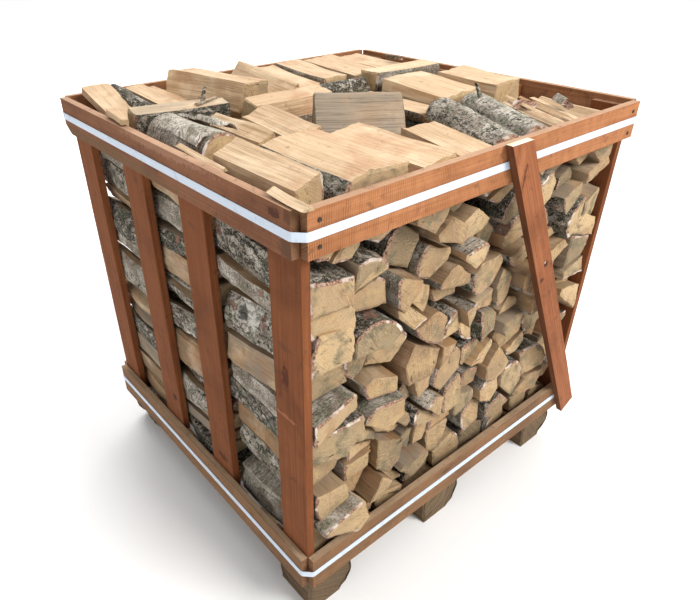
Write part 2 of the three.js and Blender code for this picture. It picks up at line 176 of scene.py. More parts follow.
def make_saw_lines():
    """The fine ridges that a saw leaves, square to the grain on boards."""
    tree, g, given, out = new_group(
        "saw_lines", [("Spacing", 1300.0), ("Reach", 7.0), ("Slant", 0.0), ("Drift", 14.0)],
        [("Lines", "NodeSocketFloat")])
    along, across = g.along_across()
    leaning = g.math("ADD", along, g.math("MULTIPLY", across, given["Slant"]))
    turns = g.math("MULTIPLY", leaning, given["Spacing"])
    drift = g.noise(g.space(along, across, 9.0, given["Reach"], g.tone()[2], 5.0), 3.0)
    wave = g.math("SINE", g.math("ADD", turns, g.math("MULTIPLY", drift, given["Drift"])))
    strong = g.ramp(g.noise(g.space(along, across, 60.0, 24.0, g.tone()[2], 9.0), 3.0, 0.6), 0.3, 0.65)
    g.feed(out["Lines"], g.math("MULTIPLY", g.ramp(wave, -0.4, 1.0), strong))
    return tree


FIBRES, STAIN, SAW_LINES = make_fibres(), make_stain(), make_saw_lines()


def use(graph, tree, **values):
    """One shared effect in a material, with this material's own values."""
    made = graph.node("ShaderNodeGroup", node_tree=tree)
    for name, value in values.items():
        graph.feed(made.inputs[name], value)
    return made.outputs


def patches(graph, scale, start, softness, offset):
    """Where one kind of stain lies: lumps to the metre, how rare it is, its edge, its own pattern."""
    return use(graph, STAIN, Scale=scale, Start=start, Softness=softness, Offset=offset)["Mask"]


def new_material(name, roughness=0.85, specular=0.3):
    """A material with its graph and its shader's inputs."""
    material = bpy.data.materials.new(name)
    material.use_nodes = True
    tree = material.node_tree
    tree.nodes.clear()
    graph = Graph(tree)
    looks = {"Roughness": roughness, "Specular IOR Level": specular}
    shader = graph.node("ShaderNodeBsdfPrincipled", looks)
    graph.node("ShaderNodeOutputMaterial", {"Surface": shader.outputs[0]})
    return material, graph, shader.inputs


def bumped(graph, shader, height, strength, depth):
    """Fine relief, to the given depth in metres."""
    bump = graph.node("ShaderNodeBump", {"Strength": strength, "Distance": depth, "Height": height})
    graph.feed(shader["Normal"], bump.outputs[0])


# ------------------------------------------------------------------ finishes
def split_wood(name, light, deep, worn_share, streaks):
    """A split face: torn fibres, with grey weathering on the odd ones."""
    material, g, shader = new_material(name, 0.85, 0.22)
    warm, odd, _ = g.tone()
    fibre = use(g, FIBRES, Along=9.0, Across=230.0)
    streak = fibre["Streak"]
    tan = g.mix(warm, linear(light), linear(deep))
    body = g.over(tan, "a5835d", g.ramp(streak, 0.4, 0.68, 0.0, streaks))
    body = g.over(body, "e6d0b0", patches(g, 9.0, 0.48, 0.18, 3.0), 0.5)
    body = g.over(body, "ad7a58", patches(g, 7.0, 0.52, 0.16, 9.0), 0.45)
    worn = g.math("MULTIPLY", patches(g, 10.0, 0.34, 0.2, 17.0), g.ramp(odd, 0.6, 0.95, worn_share))
    body = g.over(body, "8a8072", worn, 0.85)
    weathered = g.mix(g.ramp(streak, 0.42, 0.62), linear("a0917f"), linear("7c7164"))
    body = g.mix(g.ramp(odd, 0.92, 1.0, 0.0, 0.75), body, weathered)
    line_share = g.ramp(odd, 0.0, 1.0, 0.3 * streaks, 0.85 * streaks)
    body = g.over(body, "735840", g.ramp(streak, 0.58, 0.72), line_share)
    body = g.over(body, "5c4632", patches(g, 60.0, 0.62, 0.08, 23.0), 0.35)
    g.feed(shader["Base Color"], body)
    bumped(g, shader, fibre["Height"], 0.9, 0.0055)
    return material


def sawn_end():
    """A log's sawn end: rings, saw drag, open pores, mould and a crack or two."""
    material, g, shader = new_material("sawn_end", 0.9, 0.2)
    warm, odd, shift = g.tone()
    u, v = g.along_across()
    away = g.math("SQRT", g.math("ADD", g.math("MULTIPLY", u, u), g.math("MULTIPLY", v, v)))
    angle = g.math("ARCTAN2", v, u)
    wobble = g.noise(g.space(u, v, 40.0, 40.0, shift), 3.0)
    rings = g.math("ADD", g.math("MULTIPLY", away, 2300.0), g.math("MULTIPLY", wobble, 11.0))
    ring = g.math("SINE", rings)
    saw = use(g, SAW_LINES, Spacing=1700.0, Reach=30.0, Slant=0.7, Drift=30.0)["Lines"]
    pores = g.noise(g.space(u, v, 520.0, 900.0, shift), 4.0, 0.65)
    # each end was sawn from its own side, so the drag of the saw is turned
    swing = g.math("MULTIPLY", shift, 40.0)
    cos, sin = g.math("COSINE", swing), g.math("SINE", swing)
    turned_u = g.math("ADD", g.math("MULTIPLY", u, cos), g.math("MULTIPLY", v, sin))
    turned_v = g.math("SUBTRACT", g.math("MULTIPLY", v, cos), g.math("MULTIPLY", u, sin))
    drag = g.noise(g.space(turned_u, turned_v, 60.0, 300.0, shift, 61.0), 5.0, 0.7, 0.8)
    body = g.mix(warm, linear("dabd94"), linear("a08466"))
    body = g.over(body, "d8b987", patches(g, 14.0, 0.42, 0.24, 2.0), 0.55)
    body = g.over(body, "b98a63", patches(g, 17.0, 0.5, 0.16, 6.0), 0.4)
    body = g.over(body, "8d6a44", g.ramp(ring, 0.1, 1.0, 0.0, 0.14))
    body = g.over(body, "7d765f", patches(g, 24.0, 0.46, 0.2, 13.0), g.ramp(odd, 0.1, 0.85, 0.2, 1.0))
    body = g.over(body, "77705c", g.ramp(odd, 0.7, 0.95, 0.0, 0.6))
    body = g.over(body, "7d6146", saw, 0.22)
    torn = g.ramp(patches(g, 11.0, 0.4, 0.2, 71.0), 0.0, 1.0, 0.15, 1.0)
    body = g.over(body, "6b5138", torn, g.ramp(drag, 0.5, 0.66, 0.0, 0.5))
    body = g.over(body, "e0c596", torn, g.ramp(drag, 0.36, 0.48, 0.42, 0.0))
    body = g.over(body, "64503a", g.ramp(pores, 0.48, 0.7, 0.0, 0.7))
    body = g.over(body, "e6cfa4", g.ramp(pores, 0.3, 0.46, 0.35, 0.0))
    rays = enumerate(((angle, 2.6), (away, 5.0), (shift, 53.0)))
    ray = g.node("ShaderNodeCombineXYZ", {i: g.math("MULTIPLY", what, scale) for i, (what, scale) in rays})
    split_line = g.math("ABSOLUTE", g.math("SUBTRACT", g.noise(ray.outputs[0], 2.0, 0.4), 0.5))
    crack = g.math("MULTIPLY", g.ramp(split_line, 0.002, 0.008, 1.0, 0.0), g.ramp(wobble, 0.5, 0.6))
    body = g.over(body, "3b2a1a", crack, 0.8)
    g.feed(shader["Base Color"], body)
    height = g.math("ADD", g.math("MULTIPLY", drag, 1.1), g.math("MULTIPLY", pores, 0.8))
    height = g.math("SUBTRACT", height, g.math("MULTIPLY", crack, 1.2))
    bumped(g, shader, height, 0.8, 0.0022)
    return material


# where branches once grew out: a pale ring with a dark eye in it (place, size, colour)
BRANCH_EYES = (
    ((-0.478, -0.25, 0.742), (0.05, 0.055, 0.04), "e2ddd2"),
    ((-0.478, -0.235, 0.735), (0.05, 0.024, 0.022), "2a2622"),
    ((-0.478, 0.01, 0.548), (0.05, 0.03, 0.026), "d9d0c2"),
    ((-0.478, 0.01, 0.548), (0.05, 0.012, 0.012), "2a2622"),
)


def birch_bark():
    """White bark with dark dashes and crusts; the older a log's tone, the more crust on it."""
    material, g, shader = new_material("birch_bark", 0.88, 0.2)
    warm, old, shift = g.tone()
    u, v = g.along_across()
    cloud = g.noise(g.space(u, v, 13.0, 18.0, shift), 5.0, 0.6, 0.4)
    grit = g.noise(g.space(u, v, 190.0, 240.0, shift, 3.0), 5.0, 0.72)
    body = g.mix(g.ramp(cloud, 0.34, 0.62), linear("d8cebf"), linear("8b7d6c"))
    body = g.over(body, "6b675c", g.ramp(warm, 0.45, 1.0, 0.0, 0.6))
    body = g.over(body, "57514a", g.ramp(grit, 0.44, 0.6, 0.0, 0.75))
    dash = g.noise(g.space(u, v, 300.0, 34.0, shift, 7.0), 2.0, 0.5)
    body = g.over(body, "26211c", g.ramp(dash, 0.6, 0.66, 0.0, 0.9))
    plates = g.noise(g.space(u, v, 55.0, 80.0, shift, 19.0), 6.0, 0.72, 0.7)
    age = g.ramp(old, 0.0, 1.0, 0.7, 0.45)
    crust = g.ramp(plates, age, g.math("ADD", age, 0.07))
    body = g.mix(crust, body, g.mix(g.ramp(grit, 0.4, 0.62), linear("191613"), linear("57503f")))
    fleck = g.noise(g.space(u, v, 330.0, 330.0, shift, 29.0), 3.0, 0.7)
    body = g.over(body, "d2cec2", g.ramp(fleck, 0.57, 0.63, 0.0, 0.8))
    body = g.over(body, "5f6650", patches(g, 24.0, 0.52, 0.1, 31.0), g.ramp(grit, 0.35, 0.6, 0.2, 0.7))
    peeled = patches(g, 13.0, 0.63, 0.02, 41.0)
    body = g.mix(g.math("MULTIPLY", peeled, 0.9), body, g.mix(grit, linear("6f4a3c"), linear("a98672")))
    for place, size, colour in BRANCH_EYES:
        body = g.over(body, colour, g.spot(place, size), 0.85)
    g.feed(shader["Base Color"], body)
    height = g.math("ADD", g.math("MULTIPLY", crust, 0.9), g.math("MULTIPLY", grit, 0.7))
    height = g.math("SUBTRACT", height, g.math("MULTIPLY", peeled, 0.9))
    bumped(g, shader, height, 0.9, 0.0035)
    return material


def inner_bark():
    """The cut edge of the bark: brown, with the white skin showing in clumps."""
    material, g, shader = new_material("inner_bark", 0.9)
    warm, _, shift = g.tone()
    u, v = g.along_across()
    layer = g.noise(g.space(u, v, 260.0, 260.0, shift), 4.0, 0.65)
    body = g.mix(g.ramp(layer, 0.4, 0.62), linear("b3917c"), linear("634133"))
    clump = g.noise(g.space(u, v, 34.0, 34.0, shift, 5.0), 2.0)
    body = g.over(body, "e0d6ca", g.ramp(clump, 0.5, 0.62, 0.0, 0.85), g.ramp(warm, 0.3, 0.75, 1.0, 0.1))
    g.feed(shader["Base Color"], body)
    bumped(g, shader, layer, 0.8, 0.002)
    return material


def board_finish(name, light, mid, dark, saw_strength, knots=0.5, marks=()):
    """Rough sawn softwood, stained by weather; marks are the (place, size, colour, strength) of its flaws."""
    material, g, shader = new_material(name, 0.84, 0.2)
    warm, _, shift = g.tone()
    u, v = g.along_across()
    fibre = use(g, FIBRES, Along=4.0, Across=240.0)
    saw = use(g, SAW_LINES)["Lines"]
    body = g.mix(g.ramp(fibre["Streak"], 0.34, 0.66), linear(light), linear(mid))
    body = g.over(body, mid, warm, 0.45)
    body = g.over(body, dark, patches(g, 5.0, 0.44, 0.26, 5.0), 0.45)
    body = g.over(body, dark, g.ramp(fibre["Streak"], 0.58, 0.76, 0.0, 0.3))
    body = g.over(body, dark, saw, saw_strength)
    eye = g.cells(g.space(u, v, 3.4, 11.0, shift, 2.0))
    body = g.over(body, dark, g.ramp(eye, 0.07, 0.2, knots, 0.0))
    body = g.over(body, "2e1b12", g.ramp(eye, 0.04, 0.085, 1.0, 0.0), min(1.0, knots * 1.5))
    body = g.over(body, "4a3628", patches(g, 46.0, 0.58, 0.1, 23.0), 0.4)
    height = g.math("ADD", fibre["Height"], g.math("MULTIPLY", saw, saw_strength * 1.6))
    for place, size, colour, strength in marks:
        mark = g.spot(place, size)
        body = g.over(body, colour, mark, strength)
        height = g.math("SUBTRACT", height, g.math("MULTIPLY", mark, strength * 0.5))
    g.feed(shader["Base Color"], body)
    bumped(g, shader, height, 0.55, 0.0014)
    return material


def end_grain(name, light, dark):
    """A board's sawn end, with the growth rings as shallow arcs."""
    material, g, shader = new_material(name, 0.88)
    shift = g.tone()[2]
    u, v = g.along_across()
    bowed = g.math("ADD", v, g.math("MULTIPLY", g.math("MULTIPLY", u, u), 9.0))
    band = g.noise(g.space(u, bowed, 12.0, 620.0, shift), 2.0)
    body = g.mix(g.ramp(band, 0.42, 0.6), linear(light), linear(dark))
    g.feed(shader["Base Color"], body)
    bumped(g, shader, band, 0.5, 0.0012)
    return material


def strap_finish():
    """Satin woven-look plastic with the fine embossed ribs that such straps have."""
    material, g, shader = new_material("white_strap", 0.42, 0.45)
    u, v = g.along_across()
    ribs = [g.math("SINE", g.math("MULTIPLY", g.math(way, u, v), 2400.0)) for way in ("ADD", "SUBTRACT")]
    emboss = g.math("MULTIPLY", *ribs)
    scuff = patches(g, 30.0, 0.56, 0.1, 3.0)
    body = g.mix(g.ramp(emboss, -0.6, 0.8), linear("c9d6e6"), linear("dbe6f3"))
    g.feed(shader["Base Color"], g.over(body, "a9b4c0", scuff, 0.3))
    g.feed(shader["Roughness"], g.ramp(scuff, 0.0, 1.0, 0.4, 0.62))
    bumped(g, shader, emboss, 0.25, 0.0004)
    return material


def nail_finish():
    """Dull steel going to rust."""
    material, g, shader = new_material("nail_head", 0.55, 0.5)
    rust = patches(g, 300.0, 0.45, 0.2, 3.0)
    g.feed(shader["Base Color"], g.mix(rust, linear("4a4642"), linear("3a241a")))
    g.feed(shader["Metallic"], g.ramp(rust, 0.0, 1.0, 0.85, 0.1))
    bumped(g, shader, rust, 0.4, 0.0003)
    return material


# flaws of single boards, at their own places: (place, size, colour, strength)
LEFT_MARKS = (
    ((-0.518, -0.42, 1.026), (0.02, 0.02, 0.012), "43281e", 0.8),
    ((-0.518, -0.456, 1.03), (0.02, 0.012, 0.016), "50342a", 0.6),
    ((-0.518, -0.455, 0.975), (0.02, 0.03, 0.026), "55402f", 0.6),
    ((-0.518, 0.2, 0.966), (0.02, 0.4, 0.02), "6e5c40", 0.5),
    ((-0.518, -0.06, 1.036), (0.03, 0.22, 0.012), "b98d72", 0.5),
)
BRACE_MARKS = (
    ((0.19, -0.50, 0.728), (0.009, 0.02, 0.012), "3b2318", 0.9),
    ((0.186, -0.50, 0.733), (0.003, 0.02, 0.004), "d9c4b4", 0.9),
    ((0.188, -0.50, 0.683), (0.008, 0.02, 0.009), "4a2a1c", 0.9),
    ((0.031, -0.50, 0.975), (0.004, 0.02, 0.038), "4f2c1b", 0.8),
    ((0.012, -0.50, 0.99), (0.014, 0.02, 0.05), "bb8058", 0.3),
)
SLAT_MARKS = (
    ((-0.50, -0.407, 0.69), (0.02, 0.014, 0.035), "4a2316", 0.75),
    ((-0.50, -0.40, 0.59), (0.02, 0.05, 0.006), "a8694a", 0.7),
    ((-0.50, 0.051, 0.334), (0.02, 0.012, 0.014), "c08a68", 0.8),
    ((-0.50, 0.051, 0.334), (0.02, 0.005, 0.006), "2e1a12", 0.9),
    ((-0.50, 0.12, 0.30), (0.02, 0.012, 0.014), "3c2017", 0.8),
    ((-0.50, -0.12, 0.26), (0.02, 0.03, 0.012), "4a2818", 0.8),
)
BARKED, SAWN_END, RIM = birch_bark(), sawn_end(), inner_bark()
FRESH_SPLIT = split_wood("split_birch", "dfc4a2", "b28e68", 0.0, 0.4)
# the split faces in the packed rows: the split finish in darker colours and with more dark lines, painted
# shade for the deep gaps between the logs; the grey weathering on some of them is real
SHADED_SPLIT = split_wood("shaded_split_birch", "bd9b72", "80603f", 0.35, 0.75)
LOG_FINISHES = (BARKED, FRESH_SPLIT, SAWN_END, RIM)
SHADED_STACK_FINISHES = (BARKED, SHADED_SPLIT, SAWN_END, RIM)
# the front board's wood is a lighter copy of the board finish, painted light for the face that the light
# falls on; the left board's is a darker copy, painted shade for the side turned away, and carries its own
# real flaws
LIT_WOOD = board_finish("lit_front_board_wood", "bb8257", "a56c46", "7c4a2c", 0.6, 0.3)
SHADED_LEFT_WOOD = board_finish("shaded_left_board_wood", "9a6a4c", "85573d", "5d3a28", 0.3, 0.2, LEFT_MARKS)
RING_WOOD = board_finish("back_board_wood", "ad7c58", "956545", "66402a", 0.5, 0.3)
BOARD_TOP = board_finish("board_top_wood", "c49f82", "b08a6d", "8b6449", 0.25, 0.1)
LOW_WOOD = board_finish("low_board_wood", "94704f", "7f5c40", "574030", 0.35, 0.2)
LOW_TOP = board_finish("low_board_top_wood", "b39a7e", "9b8065", "6e5642", 0.2, 0.1)
SLAT_WOOD = board_finish("slat_wood", "8f5835", "7a4526", "522d18", 0.12, 0.25, SLAT_MARKS)
# the brace's left side: the same wood in a darker copy, painted shade for the side turned away from the light
SHADED_BRACE_SIDE = board_finish("shaded_brace_side_wood", "74472d", "623a24", "3f2416", 0.12, 0.15)
BRACE_WOOD = board_finish("brace_wood", "9d6440", "884f31", "5a311c", 0.12, 0.15, BRACE_MARKS)
BASE_WOOD = board_finish("base_wood", "94795a", "7a6247", "4d3d2c", 0.3)
FOOT_WOOD = board_finish("foot_wood", "7f6a50", "604d39", "352a1f", 0.2)
FOOT_BARK = board_finish("foot_bark", "62543f", "453a2c", "211b14", 0.1)
BOARD_END = end_grain("board_end_grain", "8f6848", "5f3f2b")
BRACE_END = end_grain("brace_end_grain", "ecdfcd", "cdb79c")
FOOT_END = end_grain("foot_end_grain", "7f6a50", "4c3d2e")
STRAP = strap_finish()
NAIL = nail_finish()


# ------------------------------------------------------------------ mesh helpers
def finish_piece(name, bm, materials, slot, *stands_for):
    """Makes the mesh an object of the crate; stands_for names the solids that it is seen in place of."""
    bmesh.ops.recalc_face_normals(bm, faces=bm.faces[:])
    mesh = bpy.data.meshes.new(name)
    bm.to_mesh(mesh)
    bm.free()
    for material in materials:
        mesh.materials.append(material)
    piece = bpy.data.objects.new(name, mesh)
    bpy.context.scene.collection.objects.link(piece)
    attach(piece, "root")
    if stands_for:
        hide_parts(*stands_for)


def gather(target, part):
    """Adds one finished bmesh to a larger one."""
    loose = bpy.data.meshes.new("loose")
    part.to_mesh(loose)
    part.free()
    target.from_mesh(loose)
    bpy.data.meshes.remove(loose)


def layers(bm):
    """The grain map and the tone that every piece's materials read."""
    grain = bm.loops.layers.uv.get("grain") or bm.loops.layers.uv.new("grain")
    tone = bm.loops.layers.float_color.get("tone") or bm.loops.layers.float_color.new("tone")
    return grain, tone


def slice_at(bm, point, normal):
    """Adds a line of edges round a piece, so that it can be bent and worn there."""
    bmesh.ops.bisect_plane(bm, geom=bm.verts[:] + bm.edges[:] + bm.faces[:], dist=1e-6,
                           plane_co=point, plane_no=normal)


def new_verts(made):
    return [v for v in made["geom"] if isinstance(v, bmesh.types.BMVert)]


def any_place(dice):
    """A place far from others in a noise, so that no two pieces are worn alike."""
    return Vector((dice.uniform(-50, 50), dice.uniform(-50, 50), dice.uniform(-50, 50)))


# ------------------------------------------------------------------ logs
END_RING = 0.007                   # how far from a log's end its last ring of edges is
RIM_WIDE, THIN_RIM = 0.0062, 0.001
RIM_NEEDS = 0.02                   # a log narrower than this from its middle has the thin rim
FULL_THICK = 0.045                 # a thinner log is roughened less
END_REACH = 0.03                   # how far along a log the lean of its end goes
SWELL_DEEP = 0.03                  # how far into a log its swelling between two slats goes
LESS_LEAN = 0.3                    # share of the lean that a log's hidden end has
MOST_BEND = 0.0016
BROAD, TORN_RIDGES, BARK_LUMPS = (15, 7, 15), (75, 10, 75), (60, 45, 60)


def log_body(outline, barked, heart, length, dice, fineness, tilt, shown=-1, swell=None, look=None):
    """One split log: its outline is drawn in X and Z, and it runs from y = 0 to its length.

    barked says of each side whether it is bark. fineness is the step between its edges and the places
    of its rings. shown is 1 where the far end leans most, and otherwise the near one does. swell is
    where a swelling starts and ends and how far it stands out. look is the warmth and age.
    """
    bm = bmesh.new()
    layers(bm)
    is_bark = bm.edges.layers.int.new("is_bark")
    step, rings = fineness
    corners, tags = [], []
    for i, (x, z) in enumerate(outline):
        x2, z2 = outline[(i + 1) % len(outline)]
        parts = 1 + int(math.hypot(x2 - x, z2 - z) / step)
        for n in range(parts):
            corners.append(bm.verts.new((x + (x2 - x) * n / parts, 0.0, z + (z2 - z) * n / parts)))
            tags.append(int(barked[i]))
    face = bm.faces.new(corners)
    for i, corner in enumerate(corners):
        bm.edges.get((corner, corners[(i + 1) % len(corners)]))[is_bark] = tags[i]
    drawn = new_verts(bmesh.ops.extrude_face_region(bm, geom=[face]))
    bmesh.ops.translate(bm, verts=drawn, vec=(0, length, 0))
    bm.normal_update()
    for f in bm.faces:
        if len({round(v.co.y, 5) for v in f.verts}) == 1:
            f.material_index = SAWN
        else:
            tagged = any(e[is_bark] for e in f.edges if abs(e.verts[0].co.y - e.verts[1].co.y) < 1e-6)
            f.material_index = BARK if tagged else SPLIT
    bmesh.ops.recalc_face_normals(bm, faces=bm.faces[:])
    for y in rings:
        if 0.004 < y < length - 0.012:
            slice_at(bm, (0, y, 0), (0, 1, 0))
    slice_at(bm, (0, length - END_RING, 0), (0, 1, 0))
    rim_sawn_ends(bm, RIM_WIDE if max(x for x, z in outline) > RIM_NEEDS else THIN_RIM)
    shade = (*(look or (dice.random(), dice.random())), dice.random(), 1.0)
    around = max(math.hypot(x - heart[0], z - heart[1]) for x, z in outline)
    map_log(bm, heart, around, shade, dice.random())
    thick = max(z for x, z in outline) - min(z for x, z in outline)
    roughen(bm, dice, length, tilt, shown, swell, min(1.0, thick / FULL_THICK))
    return bm


def rim_sawn_ends(bm, rim_wide):
    """A rim round each sawn face: inner bark where there is bark, and a worn edge all round."""
    for cap in [f for f in bm.faces if f.material_index == SAWN]:
        made = bmesh.ops.inset_region(bm, faces=[cap], thickness=rim_wide, use_boundary=True,
                                      use_even_offset=True)["faces"]
        for f in made:
            for e in f.edges:
                for other in e.link_faces:
                    if other.material_index == BARK:
                        f.material_index = INNER_BARK


def map_log(bm, heart, around, shade, offset):
    """Where every corner lies on the grain map, before the wood is roughened: bark is unrolled."""
    grain, tone = layers(bm)
    hx, hz = heart
    for f in bm.faces:
        if f.material_index in (SAWN, INNER_BARK):
            for loop in f.loops:
                loop[grain].uv = (loop.vert.co.x - hx, loop.vert.co.z - hz)
                loop[tone] = shade
            continue
        normal = f.normal
        middle = f.calc_center_median()
        middle_turn = math.atan2(middle.z - hz, middle.x - hx)
        for loop in f.loops:
            p = loop.vert.co
            if f.material_index == BARK:
                turn = math.atan2(p.z - hz, p.x - hx)
                if turn - middle_turn > math.pi:
                    turn -= 2 * math.pi
                if middle_turn - turn > math.pi:
                    turn += 2 * math.pi
                across = turn * around
            else:
                across = p.x * normal.z - p.z * normal.x
            loop[grain].uv = (p.y + offset, across + offset)
            loop[tone] = shade


def lumps(p, fineness, seed):
    """Smooth unevenness, with its own number of lumps to the metre along X, Y and Z."""
    return noise.noise(Vector((p.x * fineness[0], p.y * fineness[1], p.z * fineness[2])) + seed)


def uneven(v, kinds, seed):
    """How a split face or bark stands out of flat at one vertex."""
    out = Vector((v.normal.x, 0, v.normal.z))
    if out.length > 1e-4:
        out.normalize()
    broad = lumps(v.co, BROAD, seed)
    if SPLIT in kinds:
        return out * (broad * 0.004 + lumps(v.co, TORN_RIDGES, seed) * 0.0028 - 0.0016)
    return out * (broad * 0.0022 + lumps(v.co, BARK_LUMPS, seed) * 0.0022 - 0.0006)


def swollen(p, swell, low_x, high_x):
    """How far a log along a wall stands out between two slats at one place."""
    start, end, height = swell
    reach = (p.y - start) / (end - start)
    depth = (low_x - p.x if height < 0 else p.x - high_x) / SWELL_DEEP + 1
    if 0 < reach < 1 and depth > 0:
        return height * math.sin(math.pi * reach) ** 0.7 * min(1.0, depth)
    return 0.0


def chipped(p, kinds, seed):
    """How deep a sawn end is worn in at one place, most along its edge."""
    chip = 0.0012 * noise.noise(p * 45 + seed)
    if kinds & {BARK, SPLIT}:
        chip += 0.0025 + 0.003 * noise.noise(p * 90 + seed)
    return chip


def roughen(bm, dice, length, tilt, shown, swell, strength):
    """Splits and bark aren't flat: vertices move a little along their normals, ends lean and edges wear."""
    seed = any_place(dice)
    low_x = min(v.co.x for v in bm.verts)
    high_x = max(v.co.x for v in bm.verts)
    bend_x, bend_z = dice.uniform(-1, 1) * MOST_BEND, dice.uniform(-1, 1) * MOST_BEND
    bm.normal_update()
    moves = []
    for v in bm.verts:
        kinds = {f.material_index for f in v.link_faces}
        move = Vector((0, 0, 0))
        if kinds & {BARK, SPLIT}:
            move += uneven(v, kinds, seed) * strength
        if swell:
            move.x += swollen(v.co, swell, low_x, high_x)
        swing = math.sin(math.pi * v.co.y / length)
        move.x += bend_x * swing
        move.z += bend_z * swing
        if kinds & {SAWN, INNER_BARK}:
            move.y += chipped(v.co, kinds, seed) * (1 if v.co.y < length / 2 else -1)
        moves.append(move)
    middle = sum((v.co for v in bm.verts), Vector((0, 0, 0))) / len(bm.verts)
    near_share, far_share = (LESS_LEAN, 1.0) if shown > 0 else (1.0, LESS_LEAN)
    for v, move in zip(bm.verts, moves):
        near = 1 - min(1.0, v.co.y / END_REACH)
        far = 1 - min(1.0, (length - v.co.y) / END_REACH)
        lean = tilt[0] * (v.co.x - middle.x) + tilt[1] * (v.co.z - middle.z)
        v.co += move
        v.co.y += lean * (near * near_share + far * far_share)


# ------------------------------------------------------------------ how a row of logs is packed
# in millimetres and square millimetres, with the solids' own numbers but finer arcs of bark, so that each
# log lies where its solid does
STACK_HALF = -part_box("slat_left_1")[1].x / MM - 2
STACK_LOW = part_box("deck_board_1")[1].z / MM + 0.6
STACK_HIGH = 984.0
LOW_BOARD_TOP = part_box("low_board_front")[1].z / MM
TOP_BOARD_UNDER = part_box("top_board_front")[0].z / MM
LAYERS = 11
FEWEST_ACROSS, MORE_ACROSS = 8, 3          # logs in a layer, and how many more it may have
FIRST_ACROSS, START_SPREAD = 0.25, 0.5     # where a layer's first log is, as shares of the logs' spacing
SITE_SCATTER, RISE_SCATTER = 0.42, 0.5     # scatter along a layer and up and down
WEIGHT_SPREAD = 1800                       # how unequal neighbouring logs are
NEIGHBOUR_REACH = 330                      # farthest that a log can press on another one
LID_DROP, LID_LEAN = 20, 0.16              # how uneven the top of the stack is, and its slopes
LOG_GAP = 2.0
HEART_NEAR, HEART_SPREAD = 30, 24          # how far off the heart of a log's tree is
GIRTH_LEAST, GIRTH_SPREAD = 0.8, 0.12      # how much of its room the bark's arc reaches over
LEAST_RADIUS, BARK_CHORD, FEWEST_CHORDS = 50, 13, 16
HALVED, SPLIT_LEAN = 0.34, 1.1             # share of logs split once more, and how far that split leans
LEAST_CELL, LEAST_HALVED, LEAST_LOG = 1200, 5000, 500
SHORTEST_SIDE = 3.0
WALL_TURN, WALL_HEART, WALL_GIRTH = 0.2, 26, 0.07      # logs along a wall have their bark to it
END_LEAN = 0.36                            # slope range of the sawn ends
PROUD_LOW, PROUD_HIGH = -6.0, 40.0         # log ends stand this far behind the row's face
PROUD_STEP = 0.37                          # one half of a split log stands out farther than the other
ROWS = (
    # name, seed, y from, y to, side that shows the sawn ends
    ("logs_front_row", 11, -463.0, -156.0, -1),
    ("logs_middle_row", 29, -153.0, 153.0, 0),
    ("logs_back_row", 47, 156.0, 463.0, 1),
)
SCATTER_STEP, SCATTER_RANGE, SCATTER_RUN_IN = 16807, 2147483647, 5


def scatter(seed):
    """A repeatable number between 0 and 1 each time that it is called."""
    state = seed

    def draw():
        nonlocal state
        state = state * SCATTER_STEP % SCATTER_RANGE
        return state / SCATTER_RANGE

    for _ in range(SCATTER_RUN_IN):
        draw()
    return draw


def trim(bm, point, normal):
    """Cuts a flat outline (X and Z) off past a line; does nothing where it all lies inside."""
    px, pz = point
    nx, nz = normal
    if all((v.co.x - px) * nx + (v.co.z - pz) * nz <= 0 for v in bm.verts):
        return
    bmesh.ops.bisect_plane(bm, geom=bm.verts[:] + bm.edges[:] + bm.faces[:], dist=1e-5,
                           plane_co=(px, 0, pz), plane_no=(nx, 0, nz), clear_outer=True)


def whole_stack():
    """The outline of a full row, which every log's own room is cut from."""
    bm = bmesh.new()
    corners = ((-STACK_HALF, STACK_LOW), (STACK_HALF, STACK_LOW),
               (STACK_HALF, STACK_HIGH), (-STACK_HALF, STACK_HIGH))
    bm.faces.new([bm.verts.new((x, 0, z)) for x, z in corners])
    return bm


def outline_of(bm):
    """The corners (X and Z) of what is left of a flat outline."""
    if not bm.faces:
        return []
    return [(v.co.x, v.co.z) for v in bm.faces[:][0].verts]


def cell_area(bm):
    return sum(f.calc_area() for f in bm.faces)


def middle_of(outline):
    return sum(x for x, z in outline) / len(outline), sum(z for x, z in outline) / len(outline)


def log_sites(draw):
    """The middle of every log in a row, and how much it pushes its neighbours away."""
    sites = []
    layer_high = (STACK_HIGH - STACK_LOW) / LAYERS
    for k in range(LAYERS):
        count = FEWEST_ACROSS + int(draw() * MORE_ACROSS)
        start = draw() * START_SPREAD
        for i in range(count):
            across = (i + FIRST_ACROSS + start + (draw() - 0.5) * SITE_SCATTER) / count
            up = k + 0.5 + (draw() - 0.5) * RISE_SCATTER
            x, z = -STACK_HALF + 2 * STACK_HALF * across, STACK_LOW + up * layer_high
            sites.append((x, z, (draw() - 0.5) * WEIGHT_SPREAD))
    return sites


def log_room(site, sites, lid, lid_lean):
    """The part of the stack that one log has to itself."""
    x, z, weight = site
    cell = whole_stack()
    trim(cell, (x, STACK_HIGH - lid), (lid_lean, 1))
    for ox, oz, other_weight in sites:
        far = math.hypot(ox - x, oz - z)
        if 1 <= far <= NEIGHBOUR_REACH:
            dx, dz = (ox - x) / far, (oz - z) / far
            reach = (far * far + weight - other_weight) / (2 * far) - LOG_GAP
            trim(cell, (x + dx * reach, z + dz * reach), (dx, dz))
    return cell


def split_again(cell, middle, angle):
    """Two logs in the room of one, along a line through its middle."""
    mx, mz = middle
    sx, sz = math.cos(angle), math.sin(angle)
    other = cell.copy()
    trim(cell, (mx - sx * LOG_GAP, mz - sz * LOG_GAP), (sx, sz))
    trim(other, (mx + sx * LOG_GAP, mz + sz * LOG_GAP), (-sx, -sz))
    return [cell, other]


